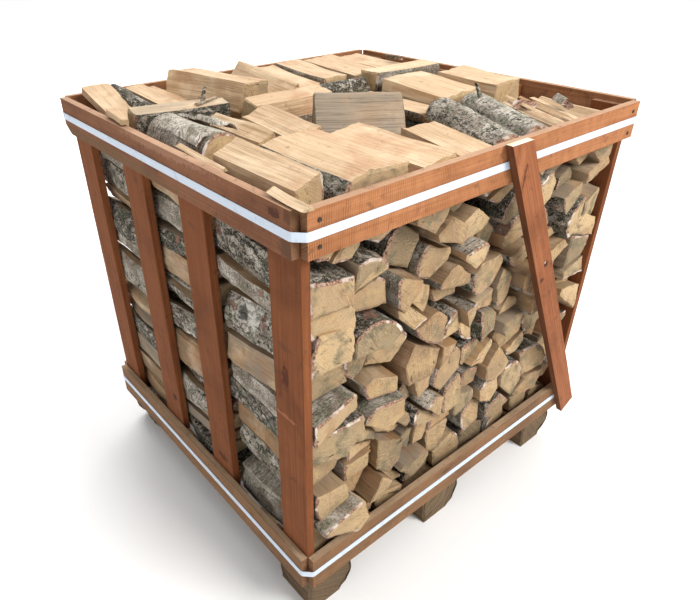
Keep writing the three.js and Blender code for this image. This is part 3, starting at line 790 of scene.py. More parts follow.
def pack_row(seed):
    """Outlines for one row: each log end fills the room its neighbours leave, and its bark is an arc
    round the heart of the tree that it was split from."""
    draw = scatter(seed)
    sites = log_sites(draw)
    logs = []
    for site in sites:
        lid = draw() * LID_DROP
        lid_lean = (draw() - 0.5) * LID_LEAN
        cell = log_room(site, sites, lid, lid_lean)
        turn = draw() * 2 * math.pi
        heart = HEART_NEAR + draw() * HEART_SPREAD
        girth = GIRTH_LEAST + GIRTH_SPREAD * draw()
        halved = draw() < HALVED
        lean = draw() - 0.5
        proud = draw()
        tilt = ((draw() - 0.5) * END_LEAN, (draw() - 0.5) * END_LEAN)
        corners = outline_of(cell)
        if len(corners) < 3 or cell_area(cell) < LEAST_CELL:
            cell.free()
            continue
        if any(abs(x) > STACK_HALF - 1 for x, z in corners):
            turn = (turn - math.pi) * WALL_TURN + (math.pi if site[0] < 0 else 0)
            heart += WALL_HEART
            girth += WALL_GIRTH
        mx, mz = middle_of(corners)
        hx = mx - math.cos(turn) * heart
        hz = mz - math.sin(turn) * heart
        reach = max((x - hx) * math.cos(turn) + (z - hz) * math.sin(turn) for x, z in corners)
        radius = max(LEAST_RADIUS, reach * girth)
        steps = max(FEWEST_CHORDS, round(2 * math.pi * radius / BARK_CHORD))
        flat = radius * math.cos(math.pi / steps)
        for i in range(steps):
            a = 2 * math.pi * i / steps
            trim(cell, (hx + math.cos(a) * flat, hz + math.sin(a) * flat), (math.cos(a), math.sin(a)))
        parts = [cell]
        if halved and cell_area(cell) > LEAST_HALVED:
            parts = split_again(cell, (mx, mz), turn + math.pi / 2 + lean * SPLIT_LEAN)
        for n, part in enumerate(parts):
            bmesh.ops.remove_doubles(part, verts=part.verts[:], dist=SHORTEST_SIDE)
            outline = outline_of(part)
            big = cell_area(part) > LEAST_LOG
            part.free()
            if len(outline) > 2 and big:
                logs.append((outline, (hx, hz), radius, steps, turn, (proud + n * PROUD_STEP) % 1, tilt))
    return logs


# ---- how the logs of a row differ in their rooms, in millimetres
NEAR_ARC = 0.6                             # a corner this near the bark's arc is on it
WALL_BAND = 22                             # a log that comes this near the side of the stack is a wall log
WALL_ROOM = 70                             # ... and with its middle this near, it fills its room
BARK_FACING = (2.0, 0.5, 0.5, 0.2, -0.2)   # how squarely a flat side faces the bark's way to be bark too
BARE_FRONT, BARE, CLEAN = 0.24, 0.36, 0.5  # shares of wall logs with no bark, and up to the clean ones
SLIMNESS = (0.99, 0.96, 0.93, 0.9, 0.86)
MOST_SPIN = 3                              # degrees
SET_BACK = 0.3                             # share of the logs that are set back deeper
OVERHANG_AT, OVERHANG_HALF = (-432, 276), (42, 36)     # the log that stands out over the low board
OVERHANG = 34
SLAT_GAPS = ((-371.0, -163.0), (-67.0, 94.0), (188.0, 369.0))
SWELLINGS = (-4, 0, 4, 9, 14)              # how far a wall log stands out between two slats
STEEPEST = 0.13                            # slope of the wall logs that lie least level
FINE_STEP, COARSE_STEP = 0.011, 0.03       # metres between edges round a log
FRONT_RINGS = (END_RING, 0.018, 0.032, 0.048, 0.068, 0.1, 0.15, 0.21, 0.27)    # metres from its shown end
WALL_RINGS = 16


def bark_sides(outline, heart, radius, steps, turn, least_facing):
    """Which sides of an outline lie on the arc of the bark, or face the same way as it does."""
    least = radius * math.cos(math.pi / steps) - NEAR_ARC
    sides = []
    for i, (x, z) in enumerate(outline):
        x2, z2 = outline[(i + 1) % len(outline)]
        middle = math.hypot((x + x2) / 2 - heart[0], (z + z2) / 2 - heart[1])
        both = min(math.hypot(x - heart[0], z - heart[1]), math.hypot(x2 - heart[0], z2 - heart[1]))
        on_arc = middle > least and both > least
        long = math.hypot(x2 - x, z2 - z)
        facing = ((z2 - z) * math.cos(turn) - (x2 - x) * math.sin(turn)) / max(long, 1e-6)
        sides.append(on_arc or facing > least_facing)
    return sides


def askew(bm, dice, middle, steepest):
    """Logs along the side walls don't lie level, and their faces have hollows and humps."""
    slope = dice.uniform(-steepest, steepest)
    seed = any_place(dice)
    for v in bm.verts:
        hollow = noise.noise(Vector((v.co.x * 12, v.co.y * 16, 1.0)) + seed)
        v.co.z += slope * (v.co.y - middle) + 0.004 * hollow
        v.co.x += 0.003 * lumps(v.co, (30, 18, 60), seed)


def log_look(dice, sides, wall, face):
    """A log's warmth and age; along a wall it is bare wood, clean bark or old bark."""
    look = (dice.random(), dice.random())
    if wall:
        kind = dice.random()
        if kind < (BARE_FRONT if face < 0 else BARE):
            sides = [False] * len(sides)
        else:
            look = (dice.uniform(0.0, 0.6), 0.25 if kind < CLEAN else dice.uniform(0.6, 1.0))
    return sides, look


def log_in_room(outline, heart, middle, dice, level):
    """Some pieces are a little slimmer than their room and lie askew in it; wall logs fill theirs."""
    mx, mz = middle
    slim = dice.choice(SLIMNESS)
    spin = math.radians(dice.uniform(-MOST_SPIN, MOST_SPIN))
    flat = 1.0 if level else slim
    if abs(mx) > STACK_HALF - WALL_ROOM:
        slim, spin = 1.0, 0.0
    points = []
    for x, z in outline:
        dx, dz = (x - mx) * slim, (z - mz) * flat
        points.append((dx * math.cos(spin) - dz * math.sin(spin), dx * math.sin(spin) + dz * math.cos(spin)))
    return points, ((heart[0] - mx) * slim, (heart[1] - mz) * slim)


def log_reach(outline, points, middle, proud, tilt, wall, row, dice):
    """Where along Y a log starts and ends, by how far its shown end stands out."""
    _, _, y0, y1, face = row
    front = PROUD_LOW + (PROUD_HIGH - PROUD_LOW) * proud
    sag = max(abs(tilt[0] * x + tilt[1] * z) for x, z in points)
    boarded = any(z < LOW_BOARD_TOP + 2 or z > TOP_BOARD_UNDER - 2 for x, z in outline)
    front = max(front, sag + (3 if boarded else PROUD_LOW))
    if face and not wall and dice.random() < SET_BACK:
        front += dice.uniform(5, 26)
    beside_x, beside_z = middle[0] - OVERHANG_AT[0], middle[1] - OVERHANG_AT[1]
    if face < 0 and abs(beside_x) < OVERHANG_HALF[0] and abs(beside_z) < OVERHANG_HALF[1]:
        front = -OVERHANG
    back = dice.uniform(2, 14)
    return y0 + (front if face < 0 else back), y1 - (front if face > 0 else back)


def make_row(row):
    """All the logs of one row, each a closed shape of its own, as one piece."""
    name, seed, y0, _, face = row
    at_back = y0 > 0
    bm = bmesh.new()
    layers(bm)
    for n, (outline, heart, radius, steps, turn, proud, tilt) in enumerate(pack_row(seed)):
        dice = random.Random(seed * 1000 + n)
        wall = max(abs(x) for x, z in outline) > STACK_HALF - WALL_BAND
        least_facing = dice.choice(BARK_FACING)
        if wall:
            least_facing = min(least_facing, 0.1)
        sides = bark_sides(outline, heart, radius, steps, turn, least_facing)
        sides, look = log_look(dice, sides, wall, face)
        mx, mz = middle_of(outline)
        points, (hx, hz) = log_in_room(outline, heart, (mx, mz), dice, at_back)
        start, end = log_reach(outline, points, (mx, mz), proud, tilt, wall, row, dice)
        length = (end - start) * MM
        swell = None
        rings = FRONT_RINGS
        if face > 0:
            rings = [length - y for y in rings]
        if wall:
            rings = [END_RING] + [length * i / WALL_RINGS for i in range(1, WALL_RINGS)]
            between = SLAT_GAPS[(y0 > -300) + (y0 > 0)]
            out = dice.choice(SWELLINGS) * MM * (-1 if mx < 0 else 1)
            swell = ((between[0] - start) * MM, (between[1] - start) * MM, out)
        fineness = (FINE_STEP if face or wall else COARSE_STEP, rings)
        body = log_body([(x * MM, z * MM) for x, z in points], sides, (hx * MM, hz * MM), length, dice,
                        fineness, tilt, face, swell, look)
        if wall:
            askew(body, dice, length / 2, 0.0 if at_back else STEEPEST)
        place = Matrix.Translation((mx * MM, start * MM, mz * MM))
        bmesh.ops.transform(body, matrix=place, verts=body.verts)
        gather(bm, body)
    # the rows take the darker split finish, which paints the shade between the packed logs
    finish_piece(name.replace("logs", "split_logs"), bm, SHADED_STACK_FINISHES, "birch_log", name)


for row in ROWS:
    make_row(row)


# ------------------------------------------------------------------ the loose top layer
# outlines for a log one unit wide and high, going anticlockwise, each point with whether bark follows it
SECTIONS = {
    "slab": ((-0.5, 0.15, 1), (-0.38, 0, 0), (0.4, 0, 1), (0.5, 0.2, 0), (0.46, 1, 0),
             (-0.48, 0.94, 0)),
    "half": ((-0.42, 0.45, 1), (-0.25, 0.12, 1), (0, 0, 1), (0.25, 0.12, 1), (0.42, 0.45, 1), (0.5, 0.86, 1),
             (0.49, 1, 0), (-0.49, 1, 1), (-0.5, 0.86, 1)),
    "shoulder": ((-0.5, 0.5, 1), (-0.44, 0.18, 1), (-0.3, 0, 0), (0.4, 0, 0), (0.5, 0.3, 0), (0.5, 0.95, 0),
                 (-0.1, 1, 0), (-0.4, 0.86, 1)),
    "dome": ((-0.5, 0.2, 0), (-0.42, 0, 0), (0.42, 0, 0), (0.5, 0.2, 1), (0.47, 0.55, 1), (0.33, 0.85, 1),
             (0.1, 1, 1), (-0.13, 1, 1), (-0.35, 0.84, 1), (-0.48, 0.52, 1)),
    "quarter": ((-0.5, 0.25, 0), (-0.3, 0, 1), (0.15, 0.03, 1), (0.4, 0.25, 1), (0.5, 0.6, 1), (0.42, 1, 0),
                (-0.46, 0.74, 0)),
    "wedge": ((-0.5, 0.15, 1), (-0.42, 0, 1), (0.45, 0, 1), (0.5, 0.22, 0), (0.3, 1, 0), (0.18, 0.97, 0)),
    "chunk": ((-0.5, 0.3, 0), (-0.35, 0, 1), (0.4, 0, 1), (0.5, 0.35, 0), (0.46, 0.9, 0), (-0.3, 1, 0)),
}
# how far up a section the heart of its tree is, as a share of its height
HEARTS = {"dome": 0.0, "half": 1.0, "shoulder": 0.9, "wedge": 0.95, "quarter": 0.9, "chunk": 1.0, "slab": 1.6}
SMOOTH_SHARE = 0.5625              # with this share of its own corners a chord's middle lies on the curve
INSET = 0.0012                     # how much smaller than its solid a log is all round, before it is worn
# name, section, near end (x, y, underside z), far end, width, height, in millimetres; then warmth and age
TOP_LOGS = (
    ("near_corner", "quarter", (-444, -420, 988), (-442, -168, 988), 66, 80, (0.3, 0.2)),
    ("bark_shoulder", "shoulder", (-326, -450, 988), (-332, -204, 992), 146, 73, (0.35, 0.6)),
    ("long_flat", "slab", (-167, -450, 988), (-200, -216, 1002), 112, 54, (0.25, 0.3)),
    ("orange_flat", "slab", (-55, -450, 986), (-8, -248, 990), 96, 46, (0.5, 0.2)),
    ("grey_bark", "dome", (52, -442, 986), (148, -180, 1000), 88, 54, (0.4, 0.62)),
    ("peeled_bark", "dome", (158, -440, 986), (266, -182, 998), 84, 52, (0.6, 0.5)),
    ("right_corner", "wedge", (392, -446, 986), (432, -250, 986), 68, 40, (0.5, 0.7)),
    ("grey_wedge", "wedge", (25, -176, 986), (-146, -66, 990), 116, 92, (0.9, 0.98)),
    ("small_flat", "quarter", (-262, -190, 986), (-250, 16, 992), 76, 72, (0.5, 0.3)),
    ("torn_block", "chunk", (-230, 70, 986), (-8, 66, 986), 88, 78, (0.45, 0.5)),
    ("broad_flat", "slab", (262, -150, 986), (276, 72, 996), 152, 58, (0.35, 0.3)),
    ("right_flat", "slab", (420, -172, 988), (421, 24, 992), 114, 66, (0.3, 0.2)),
    ("dark_bark", "dome", (6, 126, 986), (190, 128, 986), 60, 62, (0.5, 0.95)),
    ("white_top", "half", (208, 126, 988), (440, 108, 990), 72, 72, (0.0, 0.3)),
    ("white_bark", "dome", (-412, -112, 986), (-424, 96, 986), 104, 74, (0.0, 0.0)),
    ("cracked_end", "quarter", (-327, -140, 986), (-331, 70, 986), 46, 66, (0.6, 0.4)),
    ("pale_top", "half", (-468, 172, 988), (-252, 128, 988), 70, 68, (0.05, 0.8)),
    ("thick_chunk", "chunk", (-160, 146, 986), (-232, 388, 992), 112, 98, (0.55, 0.4)),
    ("leaning_plank", "slab", (-434, 218, 990), (-434, 440, 1044), 78, 24, (0.4, 0.2)),
    ("pointed", "wedge", (-50, 140, 986), (-58, 395, 1012), 74, 74, (0.35, 0.4)),
    ("back_flat_a", "slab", (38, 176, 986), (62, 430, 994), 82, 56, (0.3, 0.2)),
    ("back_flat_b", "half", (134, 180, 986), (158, 436, 990), 86, 62, (0.25, 0.3)),
    ("back_flat_c", "slab", (258, 182, 986), (276, 436, 992), 118, 60, (0.35, 0.2)),
    ("back_flat_d", "slab", (396, 176, 986), (400, 438, 988), 104, 54, (0.3, 0.5)),
)


def rounded(outline, barked):
    """Adds points along the bark so that it runs round instead of in chords."""
    count = len(outline)
    points, tags = [], []
    for i in range(count):
        before, here = Vector(outline[i - 1]), Vector(outline[i])
        after, beyond = Vector(outline[(i + 1) % count]), Vector(outline[(i + 2) % count])
        points.append(tuple(here))
        tags.append(barked[i])
        if barked[i] and (after - here).length > 0.012:
            middle = (here + after) * SMOOTH_SHARE - (before + beyond) * (SMOOTH_SHARE - 0.5)
            if not barked[i - 1] or not barked[(i + 1) % count]:
                middle = (here + after) / 2 + (middle - (here + after) / 2) * 0.4
            points.append(tuple(middle))
            tags.append(1)
    return points, tags


def top_log(name, section, near, far, wide, high, look, solid=True):
    """One log of the top layer, laid from its near end to its far end."""
    dice = random.Random(name)
    outline = [(u * wide * MM, v * high * MM) for u, v, _ in SECTIONS[section]]
    outline, sides = rounded(outline, [bark for _, _, bark in SECTIONS[section]])
    narrower, lower = 1 - INSET / wide * 2 / MM, 1 - INSET / high * 2 / MM
    middle_z = high * MM / 2
    outline = [(x * narrower, middle_z + (z - middle_z) * lower) for x, z in outline]
    along = (Vector(far) - Vector(near)) * MM
    length = along.length
    heart = (wide * MM * (0.0 if section in ("dome", "half") else -0.2), high * MM * HEARTS[section])
    step = 0.009 if wide > 40 else 0.006
    lean = (dice.uniform(-0.1, 0.1), dice.uniform(-0.1, 0.1))
    rings = [0.005] + [0.02 * i for i in range(1, 15)]
    body = log_body(outline, sides, heart, length, dice, (step, rings), lean, look=look)
    turn = math.atan2(-along.x, along.y)
    rise = math.asin(along.z / length)
    place = Matrix.Translation(Vector(near) * MM) @ Matrix.Rotation(turn, 4, "Z")
    bmesh.ops.transform(body, matrix=place @ Matrix.Rotation(rise, 4, "X"), verts=body.verts)
    stands_for = ("top_log_" + name,) if solid else ()
    finish_piece("log_" + name, body, LOG_FINISHES, "birch_log", *stands_for)


for log in TOP_LOGS:
    top_log(*log)

# smaller pieces that fill the layer between the big ones; these have no solids of their own
LOOSE = (
    ("filler_a", "slab", (50, -84, 984), (52, 90, 984), 88, 34, (0.4, 0.4)),
    ("filler_b", "half", (145, -160, 984), (143, 96, 984), 80, 34, (0.3, 0.5)),
    ("filler_c", "wedge", (-205, 6, 984), (-25, 4, 984), 36, 30, (0.6, 0.6)),
    ("filler_d", "slab", (262, -448, 984), (352, -232, 988), 62, 38, (0.2, 0.4)),
    ("filler_e", "chunk", (326, -446, 985), (372, -290, 986), 30, 24, (0.7, 0.3)),
    ("filler_f", "chunk", (-395, -162, 984), (-306, -162, 984), 44, 44, (0.5, 0.5)),
    ("strip_a", "wedge", (248, -440, 1024), (350, -214, 1028), 13, 7, (0.5, 0.2)),
    ("strip_b", "wedge", (280, -452, 1024), (372, -240, 1027), 11, 6, (0.8, 0.3)),
    ("strip_c", "slab", (300, -440, 1024), (392, -262, 1026), 16, 5, (0.3, 0.3)),
    ("rail_splinter", "wedge", (-503, -490, 1043), (-500, -392, 1046), 24, 10, (0.0, 0.6)),
    ("rail_chip", "chunk", (-507, 114, 1043), (-497, 212, 1044), 24, 15, (0.5, 0.2)),
    ("pink_strip", "wedge", (-491, -245, 1034), (-490, -80, 1042), 17, 8, (0.3, 0.2)),
    ("back_split_a", "slab", (-326, 214, 990), (-336, 440, 1006), 54, 46, (0.3, 0.2)),
    ("back_split_b", "slab", (-286, 260, 988), (-296, 440, 1000), 44, 44, (0.45, 0.3)),
    ("back_bark", "dome", (-384, 214, 986), (-388, 442, 1004), 54, 58, (0.5, 0.9)),
    ("corner_scrap", "quarter", (-330, 126, 1052), (-262, 152, 1052), 14, 10, (0.6, 0.3)),
)
for log in LOOSE:
    top_log(*log, solid=False)


# ------------------------------------------------------------------ boards
AXES = {"X": Vector((1, 0, 0)), "Y": Vector((0, 1, 0)), "Z": Vector((0, 0, 1))}
FACE, END, TOP = 0, 1, 2
SHARP = 0.9                        # an edge turning by more than this, in radians, is rounded
BOARD_STEP = 0.045                 # about how far apart a board's edge rings are


def map_grain(bm, along, shade, shift, pale_top=False):
    """Lays the grain map along one direction; the ends get their own finish."""
    grain, tone = layers(bm)
    side = along.orthogonal().normalized()
    other = along.cross(side)
    for f in bm.faces:
        is_end = abs(f.normal.dot(along)) > 0.8
        f.material_index = END if is_end else (TOP if pale_top and f.normal.z > 0.6 else FACE)
        across = f.normal.cross(along)
        if across.length < 1e-4:
            across = side
        across.normalize()
        for loop in f.loops:
            p = loop.vert.co
            if is_end:
                loop[grain].uv = (p.dot(side), p.dot(other))
            else:
                loop[grain].uv = (p.dot(along) + shift, p.dot(across) + shift * 0.37)
            loop[tone] = shade


def wear(bm, dice, depth):
    """Rough sawn faces: every vertex sinks by a little, never out of the board."""
    seed = any_place(dice)
    bm.normal_update()
    sinks = []
    for v in bm.verts:
        n = noise.noise(v.co * 14 + seed) + 0.6 * noise.noise(v.co * 60 + seed)
        sinks.append(v.normal * -(depth * (0.5 + 0.5 * max(-1.0, min(1.0, n)))))
    for v, sink in zip(bm.verts, sinks):
        v.co += sink


def round_edges(bm, width):
    """Takes the sharpness off the long edges and the ends, after the board is cut into lengths."""
    edges = [e for e in bm.edges if len(e.link_faces) == 2 and e.calc_face_angle(0.0) > SHARP]
    bmesh.ops.bevel(bm, geom=edges, offset=width, offset_type="OFFSET", segments=2, profile=0.5,
                    affect="EDGES", material=-1, clamp_overlap=True)


def plank(name, axis, slot, finish, top=None, sunk=0.7, edge=1.3, chamfer=None):
    """A sawn board in place of its solid; sunk and edge are its wear and its rounding in millimetres."""
    low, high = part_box(name)
    dice = random.Random(name)
    bm = bmesh.new()
    bmesh.ops.create_cube(bm, size=1.0)
    bmesh.ops.scale(bm, vec=high - low, verts=bm.verts)
    bmesh.ops.translate(bm, vec=(low + high) / 2, verts=bm.verts)
    if chamfer:
        bmesh.ops.bisect_plane(bm, geom=bm.verts[:] + bm.edges[:] + bm.faces[:], dist=1e-6,
                               plane_co=chamfer[0], plane_no=chamfer[1], clear_outer=True)
        bmesh.ops.holes_fill(bm, edges=bm.edges[:], sides=0)
    along = AXES[axis]
    length = (high - low).dot(along)
    count = int(length / BOARD_STEP)
    for i in range(1, count):
        slice_at(bm, low + along * (length * (i + dice.uniform(-0.2, 0.2)) / count), along)
    across = max((a for a in AXES.values() if a != along), key=lambda a: (high - low).dot(a))
    for share in (0.25, 0.5, 0.75):
        slice_at(bm, low + across * ((high - low).dot(across) * share), across)
    bm.normal_update()
    round_edges(bm, edge * MM)
    bm.normal_update()
    map_grain(bm, along, (dice.random(), dice.random(), dice.random(), 1.0), dice.uniform(0, 5), bool(top))
    wear(bm, dice, sunk * MM)
    finishes = (finish, BOARD_END, top) if top else (finish, BOARD_END)
    finish_piece(name + "_sawn", bm, finishes, slot, name)


# the left board has wane along its far end: a place on the slanting cut, and the way that the cut faces
left_low, left_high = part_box("top_board_left")
LEFT_WANE = ((left_low.x, left_high.y - 0.03, left_low.z), (0, 0.55, -0.83))
plank("top_board_front", "X", "ring_board", LIT_WOOD, BOARD_TOP)
plank("top_board_back", "X", "ring_board", RING_WOOD, BOARD_TOP)
plank("top_board_right", "Y", "ring_board", RING_WOOD, BOARD_TOP)
plank("top_board_left", "Y", "ring_board", SHADED_LEFT_WOOD, BOARD_TOP, chamfer=LEFT_WANE)
for side, axis in (("front", "X"), ("back", "X"), ("right", "Y"), ("left", "Y")):
    plank("low_board_" + side, axis, "ring_board", LOW_WOOD, LOW_TOP)
for side in ("left", "right"):
    for i in range(1, 5):
        plank(f"slat_{side}_{i}", "Z", "slat", SLAT_WOOD, sunk=0.9, edge=1.8)
for label in ("front", "middle", "back"):
    plank(f"bearer_{label}", "X", "base_board", BASE_WOOD)
for i in range(1, 5):
    plank(f"deck_board_{i}", "Y", "base_board", BASE_WOOD)


BRACE_TOP_X, BRACE_FOOT_X = 0.007, 0.522           # middles of its two ends
BRACE_FOOT_Z, BRACE_WIDE = 0.114, 0.061
BRACE_CUTS = 24
BRACE_SHADED_LEFT = 2                     # the finish of its left side, a darker copy of its wood that paints shade, after its face's and its ends'


def prism(outline, y0, y1):
    """A flat outline in X and Z, drawn out from y0 to y1."""
    bm = bmesh.new()
    face = bm.faces.new([bm.verts.new((x, y0, z)) for x, z in outline])
    drawn = new_verts(bmesh.ops.extrude_face_region(bm, geom=[face]))
    bmesh.ops.translate(bm, verts=drawn, vec=(0, y1 - y0, 0))
    bmesh.ops.recalc_face_normals(bm, faces=bm.faces[:])
    return bm


def make_brace():
    """The slanting board, nailed over both front boards and the straps."""
    low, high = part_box("brace_front")
    lean = math.atan2(BRACE_FOOT_X - BRACE_TOP_X, high.z - BRACE_FOOT_Z)
    half = BRACE_WIDE / 2
    top_half = half / math.cos(lean)
    side = Vector((half * math.cos(lean), half * math.sin(lean)))
    foot = Vector((BRACE_FOOT_X, BRACE_FOOT_Z))
    outline = [foot - side, foot + side, (BRACE_TOP_X + top_half, high.z), (BRACE_TOP_X - top_half, high.z)]
    bm = prism(outline, low.y, high.y)
    top = Vector((BRACE_TOP_X, (low.y + high.y) / 2, high.z))
    bottom = Vector((BRACE_FOOT_X, top.y, BRACE_FOOT_Z))
    along = (bottom - top).normalized()
    length = (bottom - top).length
    for i in range(1, BRACE_CUTS):
        slice_at(bm, top + along * (length * i / BRACE_CUTS), along)
    across = along.cross(AXES["Y"])
    for share in (-0.25, 0.0, 0.25):
        slice_at(bm, top + across * (share * BRACE_WIDE), across)
    dice = random.Random("brace")
    bm.normal_update()
    round_edges(bm, 1.4 * MM)
    bm.normal_update()
    map_grain(bm, along, (0.2, 0.4, 0.7, 1.0), 2.0)
    for f in bm.faces:
        if f.normal.z > 0.8:
            f.material_index = END
        # faces turned to the left get the darker copy of the wood: painted shade
        elif f.normal.x < -0.7:
            f.material_index = BRACE_SHADED_LEFT
    wear(bm, dice, 0.8 * MM)
    finish_piece("brace_sawn", bm, (BRACE_WOOD, BRACE_END, SHADED_BRACE_SIDE), "slat", "brace_front")


make_brace()


# ------------------------------------------------------------------ straps
STRAP_THICK, STRAP_CUT = 0.001, 0.0194             # how thick it is, and where it cuts across each corner
STRAP_BEND = 0.004                                 # how far from a corner its bend starts


def make_strap(node):
    """A flat band round the boards, cutting straight across the corner notches."""
    low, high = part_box(node)
    bm = bmesh.new()
    ring = []
    for sx, sy in ((1, -1), (1, 1), (-1, 1), (-1, -1)):
        x, y = (high.x if sx > 0 else low.x), (high.y if sy > 0 else low.y)
        first, second = (x - sx * STRAP_CUT, y), (x, y - sy * STRAP_CUT)
        ring += [first, second] if sx * sy < 0 else [second, first]
    corners = [bm.verts.new((x, y, low.z)) for x, y in ring]
    edges = [bm.edges.new((corner, corners[(i + 1) % len(corners)])) for i, corner in enumerate(corners)]
    raised = new_verts(bmesh.ops.extrude_edge_only(bm, edges=edges))
    bmesh.ops.translate(bm, verts=raised, vec=(0, 0, high.z - low.z))
    bmesh.ops.recalc_face_normals(bm, faces=bm.faces[:])
    bm.normal_update()
    if sum(f.normal.dot(f.calc_center_median()) for f in bm.faces) < 0:
        bmesh.ops.reverse_faces(bm, faces=bm.faces[:])
    bends = [e for e in bm.edges if abs(e.verts[0].co.z - e.verts[1].co.z) > 0.01]
    bmesh.ops.bevel(bm, geom=bends, offset=STRAP_BEND, offset_type="OFFSET", segments=4, profile=0.5,
                    affect="EDGES", material=-1)
    bmesh.ops.solidify(bm, geom=bm.faces[:], thickness=STRAP_THICK)
    grain, tone = layers(bm)
    bm.normal_update()
    for f in bm.faces:
        along = Vector((-f.normal.y, f.normal.x, 0))
        for loop in f.loops:
            p = loop.vert.co
            loop[grain].uv = (p.dot(along), p.z)
            loop[tone] = (0.5, 0.5, 0.3, 1.0)
    finish_piece(node + "_flat", bm, (STRAP,), "strap", node)


make_strap("strap_top")
make_strap("strap_low")


# ------------------------------------------------------------------ feet
# a foot's end outline, in shares of its half width (to its round side) and of its height
FOOT_OUTLINE = ((-0.88, 0), (0.36, 0), (0.74, 0.1), (0.95, 0.32), (1, 0.52), (0.94, 0.76), (0.78, 1),
                (-0.9, 1), (-1, 0.5))
FOOT_BARKED = 2                    # the finish of a foot's round side, after its wood and its ends
FOOT_WORN = 0.008                  # how deep rot and knocks have gone
FEET = (("front_left", 1), ("front_middle", 1), ("front_right", 1), ("back_left", -1), ("back_middle", 1),
        ("back_right", 1), ("centre", -1))


def make_foot(label, round_side):
    """A length of half-round timber, weathered, with bark left on its round side."""
    low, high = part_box("foot_" + label)
    half, tall, middle = (high.x - low.x) / 2, high.z - low.z, (low.x + high.x) / 2
    outline = [(middle + round_side * u * half, low.z + v * tall) for u, v in FOOT_OUTLINE]
    bm = prism(outline, low.y, high.y)
    dice = random.Random("foot " + label)
    for axis, parts in ((AXES["Y"], 10), (AXES["Z"], 9), (AXES["X"], 8)):
        for i in range(1, parts):
            slice_at(bm, axis * (low.dot(axis) + (high - low).dot(axis) * i / parts), axis)
    bm.normal_update()
    round_edges(bm, 2.5 * MM)
    bm.normal_update()
    map_grain(bm, AXES["Y"], (dice.random(), dice.random(), dice.random(), 1.0), dice.uniform(0, 5))
    for f in bm.faces:
        if f.material_index == FACE and abs(f.normal.z) < 0.9 and f.normal.x * round_side > 0.2:
            f.material_index = FOOT_BARKED
    seed = any_place(dice)
    for v in bm.verts:
        if v.co.z > low.z + 0.002 and v.co.z < high.z - 0.002:
            n = 0.6 + 0.6 * noise.noise(v.co * 22 + seed) + 0.3 * noise.noise(v.co * 80 + seed)
            v.co -= v.normal * FOOT_WORN * max(0.0, n)
    finish_piece("foot_" + label + "_timber", bm, (FOOT_WOOD, FOOT_END, FOOT_BARK), "foot", "foot_" + label)


for label, round_side in FEET:
    make_foot(label, round_side)


# ------------------------------------------------------------------ small things
NAILS = ((-0.476, 1.022), (-0.476, 0.977), (0.475, 1.022), (0.474, 0.972))     # X and Z on the front board


def tint(bm, shade):
    """A simple grain map and one tone for a small piece."""
    grain, tone = layers(bm)
    for f in bm.faces:
        for loop in f.loops:
            p = loop.vert.co
            loop[grain].uv = (p.y + p.z, p.x)
            loop[tone] = shade


def make_nails():
    """Two nails at each end of the front board, their heads a little dished."""
    bm = bmesh.new()
    face_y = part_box("top_board_front")[0].y
    for x, z in NAILS:
        head = bmesh.new()
        bmesh.ops.create_cone(head, cap_ends=True, segments=14, radius1=0.0042, radius2=0.0036, depth=0.002)
        front = [f for f in head.faces if len(f.verts) > 4 and f.normal.z > 0]
        bmesh.ops.inset_region(head, faces=front, thickness=0.0012, depth=-0.0009)
        bmesh.ops.rotate(head, verts=head.verts, matrix=Matrix.Rotation(math.radians(90), 3, "X"))
        bmesh.ops.translate(head, verts=head.verts, vec=(x, face_y - 0.0002, z))
        gather(bm, head)
    tint(bm, (0.5, 0.5, 0.5, 1.0))
    finish_piece("nails", bm, (NAIL,), "ring_board")


BARK_THICK = 0.0016


def make_curl(name, place, turn, radius, length, arc, shade, roll=0):
    """A sheet of bark that has rolled up as it dried; turn, arc and roll are in degrees."""
    bm = bmesh.new()
    edge = bm.edges.new([bm.verts.new((radius, y, 0)) for y in (-length / 2, length / 2)])
    bmesh.ops.subdivide_edges(bm, edges=[edge], cuts=5)
    bmesh.ops.spin(bm, geom=bm.verts[:] + bm.edges[:], cent=(0, 0, 0), axis=(0, 1, 0),
                   angle=math.radians(arc), steps=18, use_duplicate=False)
    for v in bm.verts:
        a = math.atan2(v.co.z, v.co.x)
        grow = 1 + 0.16 * a + 0.12 * noise.noise(v.co * 60 + Vector(place) * 9)
        v.co.x *= grow
        v.co.z *= grow
        v.co.y *= 1 + 0.3 * noise.noise(Vector((a * 1.5, 3.0, place[0] * 20)))
    sheet = bm.faces[:]
    bmesh.ops.recalc_face_normals(bm, faces=sheet)
    bmesh.ops.solidify(bm, geom=sheet, thickness=BARK_THICK)
    bmesh.ops.recalc_face_normals(bm, faces=bm.faces[:])
    for f in bm.faces:
        middle = f.calc_center_median()
        f.material_index = 0 if f.normal.dot(Vector((middle.x, 0, middle.z))) > 0 else 1
    tint(bm, shade)
    move = Matrix.Translation(place) @ Matrix.Rotation(math.radians(turn), 4, "Z") \
        @ Matrix.Rotation(math.radians(-roll), 4, "Y")
    bmesh.ops.transform(bm, matrix=move, verts=bm.verts)
    finish_piece(name, bm, (LOG_FINISHES[BARK], LOG_FINISHES[INNER_BARK]), "birch_log")


